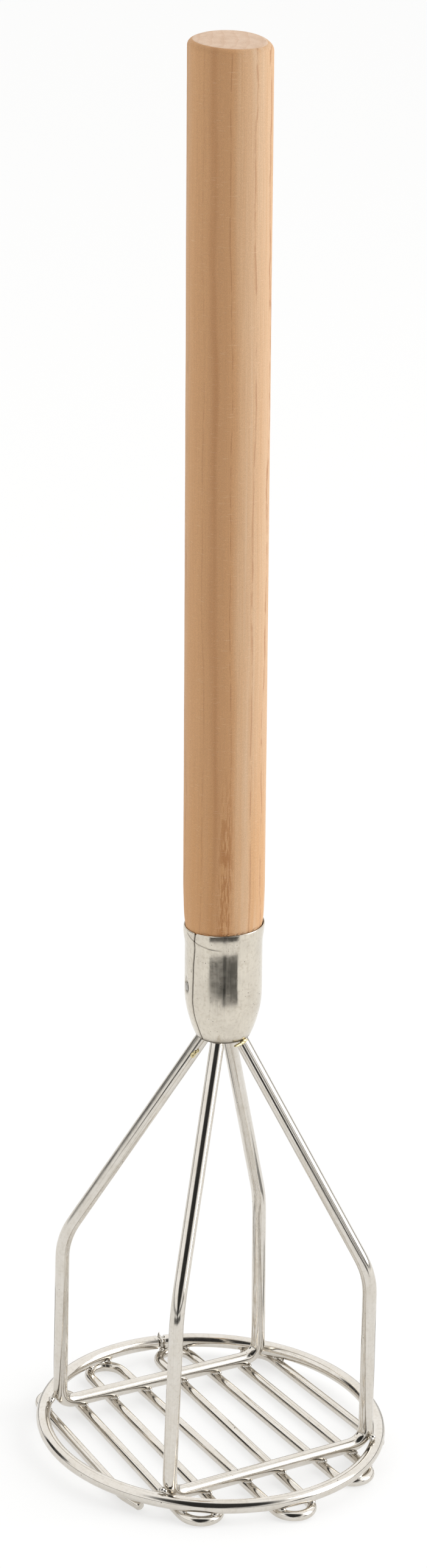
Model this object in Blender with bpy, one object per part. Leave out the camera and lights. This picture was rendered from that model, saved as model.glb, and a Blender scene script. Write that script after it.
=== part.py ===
"""Round-faced kitchen masher: a wooden handle in a drawn ferrule, two bent wire frames,
a wire ring and a serpentine wire grid, with the weld and braze beads that hold them.

Metres, +Z up.  It stands on its grid: z = 0 is the underside of the grid wire.
+X runs along the crossbars, +Y along the grid's straight runs, towards the rear frame.
The sizes below are in millimetres, measured from the ring's centre and its mid-plane.
"""
import math

import bmesh
import bpy
from mathutils import Matrix, Vector

MM = 0.001
GAP = 0.3

# wire
HEAVY_R = 2.25
GRID_R = 1.62
RING_R = 53.75
RING_JOINT_ANGLE = 78.0
RING_JOINT_GAP = 1.4
GRID_Z = -(HEAVY_R + GAP + GRID_R)

# serpentine grid: where each straight run lies at the rear and at the front station
STATION_Y = 40.0
REAR_X = (-41.0, -29.0, -18.0, -6.0, 8.0, 20.0, 31.5, 43.0)
FRONT_X = (-46.0, -34.0, -21.5, -6.0, 6.5, 22.0, 34.0, 47.0)
REAR_LOOP_Y = (37.3, 46.9, 46.4, 34.0)
FRONT_LOOP_Y = (-41.6, -51.3, -40.9)
FIRST_END_Y = -31.2
FIRST_END_KICK = 2.5
LAST_END_Y = -29.5

# bent frames: corner and upper bend of each leg, left then right
REAR_CORNERS = ((-38.5, 30.3), (36.0, 31.0))
REAR_BENDS = ((-40.4, 30.3, 60.2), (32.4, 30.8, 59.8))
FRONT_CORNERS = ((-35.5, -35.3), (38.3, -32.3))
FRONT_BENDS = ((-36.6, -35.7, 64.8), (35.6, -32.3, 60.4))
CORNER_RADIUS = 5.0
BEND_RADIUS = 25.0
KNEE_RADIUS = 5.0

# handle axis: where it meets the ring's plane, and how it leans per unit of height
AXIS_FOOT = (2.55, -1.45)
AXIS_LEAN = (-0.0450, 0.0155)

# along the handle axis
KNEE_S = 140.2
WIRE_TOP_S = 147.5
BUNDLE_R = 3.5
MOUTH_S = 138.0
RIM_S = 175.4
TENON_END_S = 149.2
TOP_S = 452.0
HANDLE_R = 12.5
TENON_R = 10.8
HANDLE_EDGE_R = 3.0
SHEET = 0.7
RIM_TILT = 0.045
RIM_TILT_AZIMUTH = 148.0
FERRULE_OUTLINE = (
    (8.4, MOUTH_S),
    (9.15, 139.6),
    (10.0, 141.8),
    (10.9, 145.0),
    (11.6, 148.2),
    (11.95, 151.5),
    (12.0, 155.5),
    (11.9, 162.0),
    (12.05, 168.0),
    (12.5, RIM_S),
)
NAIL_S = 155.3
NAIL_AZIMUTH = 168.0
NAIL_HEAD_R = 1.3
NAIL_SHANK_R = 0.8
NAIL_REACH = 12.2
NAIL_POINT = 4.6

# brazing metal in the ferrule's mouth
PLUG_LOW = 0.4
PLUG_HIGH = 3.0
PLUG_LOW_R = 7.4
PLUG_HIGH_R = 7.9
WELL_BELOW_KNEE = 8.0
WELL_ABOVE_KNEE = 3.0
LIP_DROP_R = 8.6
LIP_DROP_BELOW = 1.1
LIP_DROP_AZIMUTH = 284.0
DRIBBLE_BELOW_KNEE = 10.0
DRIBBLE_R = 0.9

# small beads
BEAD_GAP = 0.1
SPOT_R = 0.9
FILLET_R = 1.1
BUTT_BULGE = 0.3
BUTT_SHOULDER = 0.2

NICKEL = ((0.66, 0.64, 0.60), 0.18, 1.0)
NICKEL_GREY = ((0.50, 0.48, 0.45), 0.35, 1.0)
BEECH = ((0.62, 0.42, 0.27), 0.6, 0.0)
BRASS = ((0.62, 0.50, 0.25), 0.35, 1.0)
STEEL = ((0.45, 0.43, 0.40), 0.4, 1.0)


def clear_scene():
    for item in list(bpy.data.objects):
        bpy.data.objects.remove(item, do_unlink=True)


def add_empty(name, parent=None):
    empty = bpy.data.objects.new(name, None)
    bpy.context.scene.collection.objects.link(empty)
    empty.parent = parent
    return empty


def make_material(name, finish):
    colour, roughness, metallic = finish
    material = bpy.data.materials.new(name)
    material.use_nodes = True
    shader = material.node_tree.nodes["Principled BSDF"]
    shader.inputs["Base Color"].default_value = (*colour, 1.0)
    shader.inputs["Roughness"].default_value = roughness
    shader.inputs["Metallic"].default_value = metallic
    return material


def add_object(name, data, finish, parent):
    item = bpy.data.objects.new(name, data)
    item.data.materials.append(make_material(name, finish))
    bpy.context.scene.collection.objects.link(item)
    item.parent = parent
    return item


def finish_mesh(builder, name, sharp_degrees=40.0):
    bmesh.ops.recalc_face_normals(builder, faces=builder.faces)
    mesh = bpy.data.meshes.new(name)
    builder.to_mesh(mesh)
    builder.free()
    mesh.shade_smooth()
    mesh.set_sharp_from_angle(angle=math.radians(sharp_degrees))
    return mesh


def unit(azimuth):
    return Vector((math.cos(math.radians(azimuth)), math.sin(math.radians(azimuth)), 0.0))


# ---- wire paths


def rounded_path(corners, radii, steps_per_turn=24):
    """Straight lines between the corners, with an arc of its own radius at each inner one."""
    points = [Vector(corners[0])]
    for before, corner, after, radius in zip(corners, corners[1:], corners[2:], radii):
        corner = Vector(corner)
        towards = (Vector(before) - corner).normalized()
        away = (Vector(after) - corner).normalized()
        half = towards.angle(away) / 2.0
        middle = corner + (towards + away).normalized() * (radius / math.sin(half))
        start = corner + towards * (radius / math.tan(half))
        end = corner + away * (radius / math.tan(half))
        turn = math.pi - 2.0 * half
        count = max(2, round(steps_per_turn * turn / (2.0 * math.pi)))
        for step in range(count + 1):
            arm = (start - middle).slerp(end - middle, step / count).normalized()
            points.append(middle + arm * radius)
    points.append(Vector(corners[-1]))
    return points


def run_x(index, y):
    share = (y + STATION_Y) / (2.0 * STATION_Y)
    return FRONT_X[index] + (REAR_X[index] - FRONT_X[index]) * share


def loop_points(left, right, centre_y, side, steps=8):
    """A half circle from run `left` to run `right`, bulging to the rear (side 1) or front."""
    start = Vector((run_x(left, centre_y), centre_y, GRID_Z))
    end = Vector((run_x(right, centre_y), centre_y, GRID_Z))
    middle = (start + end) / 2.0
    radius = (end - start).length / 2.0
    points = []
    for step in range(steps + 1):
        turn = math.pi * (1.0 - step / steps)
        points.append(middle + radius * Vector((math.cos(turn), side * math.sin(turn), 0.0)))
    return points


def grid_path():
    points = [Vector((run_x(0, FIRST_END_Y) + FIRST_END_KICK, FIRST_END_Y, GRID_Z))]
    points.append(Vector((run_x(0, FIRST_END_Y + 9.0), FIRST_END_Y + 9.0, GRID_Z)))
    for left in range(7):
        rear = left % 2 == 0
        centre_y = REAR_LOOP_Y[left // 2] if rear else FRONT_LOOP_Y[left // 2]
        points += loop_points(left, left + 1, centre_y, 1.0 if rear else -1.0)
    points.append(Vector((run_x(7, LAST_END_Y), LAST_END_Y, GRID_Z)))
    return points


def ring_path(steps=72):
    half_gap = math.degrees(RING_JOINT_GAP / 2.0 / RING_R)
    sweep = 360.0 - 2.0 * half_gap
    start = RING_JOINT_ANGLE + half_gap
    return [RING_R * unit(start + sweep * step / steps) for step in range(steps + 1)]


def axis_point(height):
    return Vector((*AXIS_FOOT, 0.0)) + height * Vector((*AXIS_LEAN, 1.0))


def bundle_point(height, corner):
    outward = Vector((corner[0] - AXIS_FOOT[0], corner[1] - AXIS_FOOT[1], 0.0)).normalized()
    return axis_point(height) + BUNDLE_R * outward


def frame_path(corners, bends):
    (left, right), (left_bend, right_bend) = corners, bends
    stations = [
        bundle_point(WIRE_TOP_S, left),
        bundle_point(KNEE_S, left),
        left_bend,
        (*left, 0.0),
        (*right, 0.0),
        right_bend,
        bundle_point(KNEE_S, right),
        bundle_point(WIRE_TOP_S, right),
    ]
    radii = (KNEE_RADIUS, BEND_RADIUS, CORNER_RADIUS, CORNER_RADIUS, BEND_RADIUS, KNEE_RADIUS)
    return rounded_path(stations, radii)


def add_wire(name, points, radius, finish, parent):
    curve = bpy.data.curves.new(name, "CURVE")
    curve.dimensions = "3D"
    curve.bevel_depth = radius * MM
    curve.bevel_resolution = 4
    curve.use_fill_caps = True
    spline = curve.splines.new("POLY")
    spline.points.add(len(points) - 1)
    for slot, point in zip(spline.points, points):
        slot.co = (*(point * MM), 1.0)
    return add_object(name, curve, finish, parent)


# ---- turned pieces


def turned(outline, segments):
    """Spin an outline of (radius, height) about Z; a zero radius closes it on the axis."""
    builder = bmesh.new()
    ring = [builder.verts.new((radius * MM, 0.0, height * MM)) for radius, height in outline]
    edges = [builder.edges.new(pair) for pair in zip(ring, ring[1:])]
    if outline[0][0] > 0.0:
        edges.append(builder.edges.new((ring[-1], ring[0])))
    bmesh.ops.spin(
        builder, geom=ring + edges, cent=(0, 0, 0), axis=(0, 0, 1),
        angle=2.0 * math.pi, steps=segments, use_merge=True,
    )
    bmesh.ops.remove_doubles(builder, verts=builder.verts, dist=0.00001)
    return builder


def place_along(direction, centre):
    """Matrix that moves something from the origin to centre and turns its Z along direction."""
    return Matrix.Translation(centre) @ direction.to_track_quat("Z", "Y").to_matrix().to_4x4()


def cylinder_between(name, start, end, radius, parent, segments=16):
    builder = bmesh.new()
    way = (end - start) * MM
    place = place_along(way, (start + end) / 2.0 * MM)
    bmesh.ops.create_cone(
        builder, cap_ends=True, segments=segments, radius1=radius * MM, radius2=radius * MM,
        depth=way.length, matrix=place,
    )
    item = bpy.data.objects.new(name, finish_mesh(builder, name))
    bpy.context.scene.collection.objects.link(item)
    item.parent = parent
    return item


def as_cutter(item):
    item.hide_render = True
    item.display_type = "WIRE"
    return item


def cut(item, cutter):
    modifier = item.modifiers.new(cutter.name, "BOOLEAN")
    modifier.operation = "DIFFERENCE"
    modifier.object = cutter


def add_handle(parent, axis):
    """Dowel with a softly rounded top, whose end face is level, and a turned-down tenon."""
    edge = [
        (
            HANDLE_R - HANDLE_EDGE_R * (1.0 - math.cos(math.radians(turn))),
            TOP_S - HANDLE_EDGE_R * (1.0 - math.sin(math.radians(turn))),
        )
        for turn in (90, 60, 30, 0)
    ]
    outline = [(0.0, TOP_S), *edge, (HANDLE_R, RIM_S + GAP)]
    outline += [(TENON_R, RIM_S + GAP), (TENON_R, TENON_END_S + 1.5), (TENON_R - 1.5, TENON_END_S)]
    outline.append((0.0, TENON_END_S))
    builder = turned(outline, 32)
    up = axis.matrix_basis.to_3x3().inverted() @ Vector((0.0, 0.0, 1.0))
    for vert in builder.verts:
        if vert.co.z > (RIM_S + TOP_S) / 2.0 * MM:
            vert.co.z -= (up.x * vert.co.x + up.y * vert.co.y) / up.z
    follow_rim(builder, RIM_S)
    return add_object("handle", finish_mesh(builder, "handle"), BEECH, parent)


def follow_rim(builder, height):
    """Tilt the vertices at one height: the rim and the shoulder above it aren't quite square."""
    slope = RIM_TILT * unit(RIM_TILT_AZIMUTH + 180.0)
    for vert in builder.verts:
        if abs(vert.co.z / MM - height) < 2.0 * GAP:
            vert.co.z += slope.x * vert.co.x + slope.y * vert.co.y


def add_ferrule(parent):
    """Sheet-metal cup, open at the mouth and at the rim."""
    inner = [(radius - SHEET, height) for radius, height in FERRULE_OUTLINE]
    outline = list(FERRULE_OUTLINE) + inner[::-1]
    builder = turned(outline, 36)
    follow_rim(builder, RIM_S)
    return add_object("ferrule", finish_mesh(builder, "ferrule"), NICKEL, parent)


def add_nail(parent, handle, ferrule):
    """Small nail through the ferrule's wall into the tenon, with a pilot hole in each."""
    out = unit(NAIL_AZIMUTH)
    level = Vector((0.0, 0.0, NAIL_S))
    head = turned([
        (0.0, NAIL_REACH),
        (NAIL_HEAD_R * 0.6, NAIL_REACH - 0.1),
        (NAIL_HEAD_R, NAIL_REACH - 0.35),
        (NAIL_HEAD_R, NAIL_REACH - 0.75),
        (NAIL_SHANK_R, NAIL_REACH - 0.75),
        (NAIL_SHANK_R, NAIL_POINT + 2.0 * NAIL_SHANK_R),
        (0.0, NAIL_POINT),
    ], 16)
    bmesh.ops.transform(head, matrix=place_along(out, level * MM), verts=head.verts)
    add_object("ferrule_nail", finish_mesh(head, "ferrule_nail"), STEEL, parent)
    for piece, radius in ((handle, NAIL_SHANK_R), (ferrule, NAIL_HEAD_R)):
        ends = (level + out * (NAIL_POINT - 2.0 * GAP), level + out * (HANDLE_R + 1.5))
        bore = cylinder_between("nail_bore", *ends, radius + GAP, parent)
        cut(piece, as_cutter(bore))


# ---- beads


def add_bead(name, centre, radii, finish, parent):
    builder = bmesh.new()
    bmesh.ops.create_uvsphere(builder, u_segments=10, v_segments=6, radius=MM)
    size = Matrix.Diagonal((*radii, 1.0))
    bmesh.ops.transform(builder, matrix=Matrix.Translation(centre * MM) @ size, verts=builder.verts)
    return add_object(name, finish_mesh(builder, name), finish, parent)


def circle_crossings(points, radius):
    """Where a flat path crosses the circle of this radius about the ring's centre."""
    found = []
    for start, end in zip(points, points[1:]):
        middle, half = (start.xy + end.xy) / 2.0, (end.xy - start.xy) / 2.0
        along = middle.dot(half) / half.length_squared
        depth = along ** 2 - (middle.length_squared - radius ** 2) / half.length_squared
        for share in (-along - math.sqrt(max(depth, 0.0)), -along + math.sqrt(max(depth, 0.0))):
            if depth > 0.0 and -1.0 <= share < 1.0:
                found.append(middle + share * half)
    return found


def spot_offsets():
    """Height of a spot bead, and how far it sits from the middle of the wire above it."""
    height = GRID_Z + GRID_R + SPOT_R + BEAD_GAP
    reach = HEAVY_R + SPOT_R + BEAD_GAP
    return height, math.sqrt(reach ** 2 - height ** 2)


def add_ring_spots(parent):
    height, aside = spot_offsets()
    for index, point in enumerate(circle_crossings(grid_path(), RING_R - aside)):
        centre = Vector((point.x, point.y, height))
        add_bead(f"ring_spot_weld_{index + 1:02d}", centre, (SPOT_R,) * 3, NICKEL_GREY, parent)


def add_crossbar_spots(parent, label, corners, runs):
    height, aside = spot_offsets()
    (left_x, left_y), (right_x, right_y) = corners
    for number, index in enumerate(runs):
        x = run_x(index, left_y)
        y = left_y + (right_y - left_y) * (x - left_x) / (right_x - left_x)
        centre = Vector((run_x(index, y - aside), y - aside, height))
        add_bead(f"{label}_crossbar_spot_weld_{number + 1}", centre, (SPOT_R,) * 3, NICKEL_GREY, parent)


def add_leg_welds(parent):
    """One fillet bead in the corner between each leg and the ring."""
    legs = {
        "rear_left": (REAR_CORNERS[0], 190.0),
        "rear_right": (REAR_CORNERS[1], 60.0),
        "front_left": (FRONT_CORNERS[0], 200.0),
        "front_right": (FRONT_CORNERS[1], 275.0),
    }
    reach = HEAVY_R + FILLET_R + BEAD_GAP
    for label, (corner, azimuth) in legs.items():
        centre = Vector((*corner, 0.0)) + (reach + BEAD_GAP) * unit(azimuth)
        centre.z = BEAD_GAP + math.sqrt(max(reach ** 2 - (RING_R - centre.length) ** 2, 0.0))
        add_bead(f"leg_weld_{label}", centre, (FILLET_R,) * 3, NICKEL_GREY, parent)


def add_butt_weld(parent):
    """Lens of weld metal in the ring's joint, a little prouder than the wire."""
    half = RING_JOINT_GAP / 2.0 - GAP
    builder = turned([
        (0.0, half),
        (HEAVY_R - BUTT_SHOULDER, half),
        (HEAVY_R + BUTT_BULGE, 0.0),
        (HEAVY_R - BUTT_SHOULDER, -half),
        (0.0, -half),
    ], 16)
    place = place_along(unit(RING_JOINT_ANGLE + 90.0), RING_R * MM * unit(RING_JOINT_ANGLE))
    bmesh.ops.transform(builder, matrix=place, verts=builder.verts)
    add_object("ring_butt_weld", finish_mesh(builder, "ring_butt_weld"), NICKEL_GREY, parent)


def add_mouth_braze(parent, axis):
    """Plug of brazing metal in the ferrule's mouth, open around the four wires."""
    builder = turned([
        (0.0, MOUTH_S + PLUG_HIGH),
        (PLUG_HIGH_R, MOUTH_S + PLUG_HIGH),
        (PLUG_LOW_R, MOUTH_S + PLUG_LOW),
        (0.0, MOUTH_S + PLUG_LOW),
    ], 24)
    plug = add_object("mouth_braze", finish_mesh(builder, "mouth_braze"), BRASS, parent)
    to_axis = axis.matrix_basis.inverted()
    for corners, bends in ((REAR_CORNERS, REAR_BENDS), (FRONT_CORNERS, FRONT_BENDS)):
        for corner, bend in zip(corners, bends):
            knee = bundle_point(KNEE_S, corner)
            down = (Vector(bend) - knee).normalized()
            low = to_axis @ ((knee + down * WELL_BELOW_KNEE) * MM) / MM
            high = to_axis @ ((knee - down * WELL_ABOVE_KNEE) * MM) / MM
            well = cylinder_between("wire_well", low, high, HEAVY_R + GAP, parent, 12)
            cut(plug, as_cutter(well))


def add_braze_drops(parent):
    """Drop at the mouth's edge above the front right leg, and a dribble on the rear left leg."""
    lip = axis_point(MOUTH_S - LIP_DROP_BELOW) + LIP_DROP_R * unit(LIP_DROP_AZIMUTH)
    add_bead("braze_drop", lip, (1.0, 1.0, 0.8), BRASS, parent)
    knee = bundle_point(KNEE_S, REAR_CORNERS[0])
    down = (Vector(REAR_BENDS[0]) - knee).normalized()
    side = down.cross(Vector((0.0, 0.0, 1.0))).normalized()
    face = side.cross(down).normalized()
    outward = (-2.0 * side - face).normalized() * (HEAVY_R + DRIBBLE_R + BEAD_GAP)
    dribble = knee + down * DRIBBLE_BELOW_KNEE + outward
    add_bead("braze_dribble", dribble, (DRIBBLE_R,) * 3, BRASS, parent)


def stand_on_floor(root):
    """Centre the model over the origin with its lowest point at zero."""
    bpy.context.view_layer.update()
    graph = bpy.context.evaluated_depsgraph_get()
    corners = []
    for item in bpy.data.objects:
        if item.type == "EMPTY" or item.hide_render:
            continue
        seen = item.evaluated_get(graph)
        mesh = seen.to_mesh()
        corners += [seen.matrix_world @ vert.co for vert in mesh.vertices]
        seen.to_mesh_clear()
    low = [min(corner[axis] for corner in corners) for axis in range(3)]
    high = [max(corner[axis] for corner in corners) for axis in range(3)]
    root.location = (-(low[0] + high[0]) / 2.0, -(low[1] + high[1]) / 2.0, -low[2])


def main():
    clear_scene()
    root = add_empty("masher")
    axis = add_empty("handle_axis", root)
    lean = Vector((0.0, 0.0, 1.0)).rotation_difference(Vector((*AXIS_LEAN, 1.0)))
    axis.matrix_basis = Matrix.Translation(axis_point(0.0) * MM) @ lean.to_matrix().to_4x4()
    add_wire("grid_wire", grid_path(), GRID_R, NICKEL, root)
    add_wire("ring", ring_path(), HEAVY_R, NICKEL, root)
    add_wire("rear_frame", frame_path(REAR_CORNERS, REAR_BENDS), HEAVY_R, NICKEL, root)
    add_wire("front_frame", frame_path(FRONT_CORNERS, FRONT_BENDS), HEAVY_R, NICKEL, root)
    handle = add_handle(axis, axis)
    ferrule = add_ferrule(axis)
    add_nail(axis, handle, ferrule)
    add_mouth_braze(axis, axis)
    add_braze_drops(root)
    add_butt_weld(root)
    add_leg_welds(root)
    add_ring_spots(root)
    add_crossbar_spots(root, "rear", REAR_CORNERS, range(1, 7))
    add_crossbar_spots(root, "front", FRONT_CORNERS, range(2, 7))
    stand_on_floor(root)


main()
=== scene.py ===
"""Looks of the kitchen masher: a turned wooden handle, a nickel-plated ferrule, two bent wire frames,
a wire ring and a serpentine wire grid, with the brazing and weld metal between them.

Metres, +Z up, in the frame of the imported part.  Sizes in the tables below are in millimetres, from the
ring's centre and its mid-plane.  Azimuths are in degrees about Z, from +X towards +Y.
"""

from math import atan2, cos, degrees, exp, pi, radians, sin, tan

import bpy
import numpy as np
from bpy.props import FloatProperty, FloatVectorProperty, IntProperty, PointerProperty
from mathutils import Matrix, Vector, noise


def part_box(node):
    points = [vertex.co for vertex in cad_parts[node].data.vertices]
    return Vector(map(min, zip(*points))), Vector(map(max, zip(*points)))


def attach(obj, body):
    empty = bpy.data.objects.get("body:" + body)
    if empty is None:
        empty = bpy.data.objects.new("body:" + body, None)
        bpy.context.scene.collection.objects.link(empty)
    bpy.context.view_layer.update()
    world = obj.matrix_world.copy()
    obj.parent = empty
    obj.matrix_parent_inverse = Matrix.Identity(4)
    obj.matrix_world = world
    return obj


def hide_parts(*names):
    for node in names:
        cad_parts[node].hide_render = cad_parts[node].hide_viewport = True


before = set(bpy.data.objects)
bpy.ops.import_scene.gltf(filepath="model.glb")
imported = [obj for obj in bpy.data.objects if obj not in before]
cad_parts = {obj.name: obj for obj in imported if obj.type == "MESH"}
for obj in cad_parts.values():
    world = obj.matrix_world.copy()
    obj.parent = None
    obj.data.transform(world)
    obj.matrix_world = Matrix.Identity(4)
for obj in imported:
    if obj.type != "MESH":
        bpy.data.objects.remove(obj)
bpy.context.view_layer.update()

bl_info = {
    "name": "Kitchen Masher",
    "version": (1, 0, 0),
    "blender": (4, 5, 0),
    "location": "3D View > Sidebar > Masher",
    "description": "Builds the handle, ferrule, wires, welds and studio of a kitchen masher",
    "category": "Object",
}

MM = 0.001
RING_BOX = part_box("ring")
CENTRE = (RING_BOX[0] + RING_BOX[1]) / 2.0
UP = Vector((0.0, 0.0, 1.0))

# where the wires run
GRID_DROP = 4.17
STATION_Y = 40.0
REAR_X = (-41.0, -29.0, -18.0, -6.0, 8.0, 20.0, 31.5, 43.0)
FRONT_X = (-46.0, -34.0, -21.5, -6.0, 6.5, 22.0, 34.0, 47.0)
REAR_LOOP_Y = (37.3, 46.9, 46.4, 34.0)
FRONT_LOOP_Y = (-41.6, -51.3, -40.9)
FIRST_END_Y = -31.2
LAST_END_Y = -29.5
REAR_CORNERS = ((-38.5, 30.3), (36.0, 31.0))
REAR_BENDS = ((-40.4, 30.3, 60.2), (32.4, 30.8, 59.8))
FRONT_CORNERS = ((-35.5, -35.3), (38.3, -32.3))
FRONT_BENDS = ((-36.6, -35.7, 64.8), (35.6, -32.3, 60.4))
BEND_RADII = (5.0, 25.0, 5.0, 5.0, 25.0, 5.0)
RING_JOINT_ANGLE = 78.0
RING_JOINT_GAP = 1.4
BUNDLE_R = 3.5  # of the four wires where they enter the ferrule
KNEE_S = 140.2
WIRE_TOP_S = 147.5
LOOP_STEPS = 24
RING_STEPS = 240
PATH_STEP = 0.6
PRESSED = 0.15  # how far the grid is pressed into the wires over it
EASING = 10  # times that each path is smoothed

# along the handle's axis, from the ring's mid-plane
AXIS_FOOT = (2.55, -1.45)
AXIS_LEAN = (-0.0450, 0.0155)
MOUTH_S = 138.0
RIM_S = 175.4
TENON_END_S = 149.2
TOP_S = 452.0
RIM_TILT = 0.045
RIM_RISE = 0.65
WALL_R = 12.0
LEFT_AZIMUTH = 148.0
SEAM_S = (138.0, 142.0, 146.0, 151.0, 165.0, 171.0, 176.0)
SEAM_AZIMUTHS = (193.5, 191.6, 188.6, 187.4, 189.4, 192.5, 195.0)
SPLINTER_AZIMUTHS = (204, 210, 216, 229, 236, 241, 247, 250, 256, 262, 270, 279, 291, 118, 60, 20)
FERRULE_OUTLINE = (
    (8.4, 138.0), (9.15, 139.6), (10.0, 141.8), (10.9, 145.0), (11.6, 148.2), (11.95, 151.5),
    (12.0, 155.5), (11.95, 162.0), (11.95, 168.6), (12.08, 170.4), (12.34, 172.2), (12.46, 173.6),
    (12.47, 174.6), (12.44, 175.4),
)
NAIL_S = 155.3
NAIL_AZIMUTH = 168.0
NAIL_REACH = 12.2
BRAZE_S = 138.75
BRAZE_ROWS = 26
FLOOR_REACH = 40.0  # metres


# ---- settings


def length(name, description, default):
    return FloatProperty(name=name, description=description, default=default, min=0.0, unit="LENGTH")


def turn_of(name, description, default):
    return FloatProperty(name=name, description=description, default=default, subtype="ANGLE")


def tint(name, description, default):
    return FloatVectorProperty(
        name=name, description=description, default=default, subtype="COLOR", size=3, min=0.0, max=1.0
    )


class MasherHandle(bpy.types.PropertyGroup):
    """Sizes and colours of the wooden handle"""

    radius: length("Radius", "Radius of the dowel", 0.0125)
    edge: length("Edge Radius", "Rounding of the top edge", 0.0017)
    # the pale and deep wood colours are partly painted light: the pale side faces the softbox, the deep band
    # is painted shade on the front
    pale_and_lit: tint("Pale Wood", "Colour of the sapwood side", (0.63, 0.44, 0.285))
    warm: tint("Warm Wood", "Colour of the heartwood side", (0.64, 0.365, 0.18))
    deep_and_shaded: tint("Deep Wood", "Colour of the darker bands", (0.50, 0.255, 0.115))
    line: tint("Grain Line", "Colour of the thin grain lines", (0.40, 0.19, 0.09))
    end: tint("End Grain", "Colour of the sawn end", (0.68, 0.49, 0.35))


class MasherFerrule(bpy.types.PropertyGroup):
    """Sizes of the sheet-metal ferrule"""

    sheet: length("Sheet", "Thickness of the metal", 0.00045)
    seam_depth: length("Seam Depth", "Depth of the butted seam", 0.00024)
    dimple_depth: length("Dimple Depth", "How far the nail has pulled the sheet in", 0.0004)
    nail_radius: length("Nail Head", "Radius of the nail's head", 0.0013)


class MasherWire(bpy.types.PropertyGroup):
    """Sizes and colours of the wires"""

    heavy: length("Heavy Wire", "Radius of the frame and ring wire", 0.00225)
    thin: length("Grid Wire", "Radius of the grid wire", 0.00162)
    sides: IntProperty(name="Sides", description="Faces round a wire", default=32, min=12, max=64)
    ripple: length("Ripple", "Height of the waves left by bending", 0.00003)
    plate: tint("Plating", "Colour of the nickel", (0.70, 0.665, 0.61))
    heat: tint("Heat Stain", "Colour beside the welds", (0.30, 0.23, 0.16))
    brass: tint("Braze", "Colour of the brazing metal", (0.37, 0.335, 0.245))


class MasherStage(bpy.types.PropertyGroup):
    """Camera, floor and light"""

    camera_back: length("Camera Distance", "Level distance from the ring's centre", 1.402)
    camera_rise: length("Camera Height", "Height over the ring", 0.788)
    camera_heading: turn_of("Camera Heading", "Azimuth the camera looks towards", radians(58.2))
    camera_pan: turn_of("Pan", "Turn away from the ring's centre", -0.0077)
    camera_pitch: turn_of("Pitch", "How far the camera looks down", 0.3849)
    camera_roll: turn_of("Roll", "Tilt of the frame", 0.0573)
    lens: FloatProperty(name="Lens", description="Focal length in millimetres", default=114.17)
    floor_colour: tint("Floor", "Colour of the floor", (0.96, 0.96, 0.955))
    sky: FloatProperty(name="Sky", description="Brightness of the light tent", default=1.2, min=0.0)
    key: FloatProperty(name="Key", description="Power of the softbox on the right", default=16.0, min=0.0)


# ---- small helpers


def unit(azimuth):
    """Level direction of an azimuth."""
    return Vector((cos(radians(azimuth)), sin(radians(azimuth)), 0.0))


def axis_point(height):
    return Vector((*AXIS_FOOT, 0.0)) + height * Vector((*AXIS_LEAN, 1.0))


def axis_matrix():
    """From millimetres along the handle's own axis to metres in the frame."""
    lean = UP.rotation_difference(Vector((*AXIS_LEAN, 1.0)))
    foot = CENTRE + axis_point(0.0) * MM
    return Matrix.Translation(foot) @ lean.to_matrix().to_4x4() @ Matrix.Scale(MM, 4)


def ring_matrix():
    """From millimetres about the ring's centre to metres in the frame."""
    return Matrix.Translation(CENTRE) @ Matrix.Scale(MM, 4)


def link(name, mesh):
    item = bpy.data.objects.new(name, mesh)
    bpy.context.scene.collection.objects.link(item)
    return item


def settle(item, nodes):
    """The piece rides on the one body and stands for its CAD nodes."""
    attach(item, "root")
    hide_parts(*nodes)
    return item


def fresh(name, make):
    """A material or node group is made once and then shared."""
    store = bpy.data.materials if make.__name__.endswith("finish") else bpy.data.node_groups
    return store.get(name) or make(name)


def lathe(azimuths, radii, heights, closed=False):
    """Vertices and quads of a turned surface; radii and heights are rows x azimuths.  An open outline
    ends in a point on the axis at both ends, a closed one comes back to its first row."""
    rows, columns = radii.shape
    turn = np.radians(azimuths)
    points = np.stack([radii * np.cos(turn), radii * np.sin(turn), heights], axis=2).reshape(-1, 3)
    steps = rows if closed else rows - 1
    faces = []
    for row in range(steps):
        above = (row + 1) % rows
        for column in range(columns):
            beside = (column + 1) % columns
            faces.append(
                (row * columns + column, row * columns + beside,
                 above * columns + beside, above * columns + column)
            )
    points = points.tolist()
    if not closed:
        for row, flip in ((0, True), (rows - 1, False)):
            points.append([0.0, 0.0, float(heights[row].mean())])
            tip = len(points) - 1
            for column in range(columns):
                pair = (row * columns + column, row * columns + (column + 1) % columns)
                faces.append((*pair[::-1], tip) if flip else (*pair, tip))
    return points, faces


def shaped(name, points, faces, matrix, finishes, sharp=35.0):
    """A mesh object from vertices in millimetres."""
    mesh = bpy.data.meshes.new(name)
    mesh.from_pydata([matrix @ Vector(point) for point in points], [], faces)
    mesh.validate()
    mesh.shade_smooth()
    mesh.set_sharp_from_angle(angle=radians(sharp))
    for finish in finishes:
        mesh.materials.append(finish)
    return link(name, mesh)


def spread_rows(rows, azimuths):
    """Rows of (radius, height) as two arrays, repeated over the azimuths."""
    table = np.array(rows, dtype=float)
    return [np.repeat(table[:, part:part + 1], len(azimuths), axis=1) for part in (0, 1)]


def each_vertex(azimuths, radii, heights):
    """Row, column and place of every vertex of a turned surface, one after the other."""
    for row in range(radii.shape[0]):
        for column, azimuth in enumerate(azimuths):
            outward = unit(azimuth) * radii[row, column]
            yield row, column, (outward.x, outward.y, heights[row, column])


def bell(value, width):
    return np.exp(-((value / width) ** 2))


def store(mesh, label, values):
    """Writes one number per vertex as a named attribute."""
    data = mesh.attributes.new(label, "FLOAT", "POINT").data
    data.foreach_set("value", values.astype(np.float32).ravel())


def middle_of(node):
    """Middle of a CAD node's box, in millimetres from the ring's centre."""
    low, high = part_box(node)
    return ((low + high) / 2.0 - CENTRE) / MM


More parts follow.
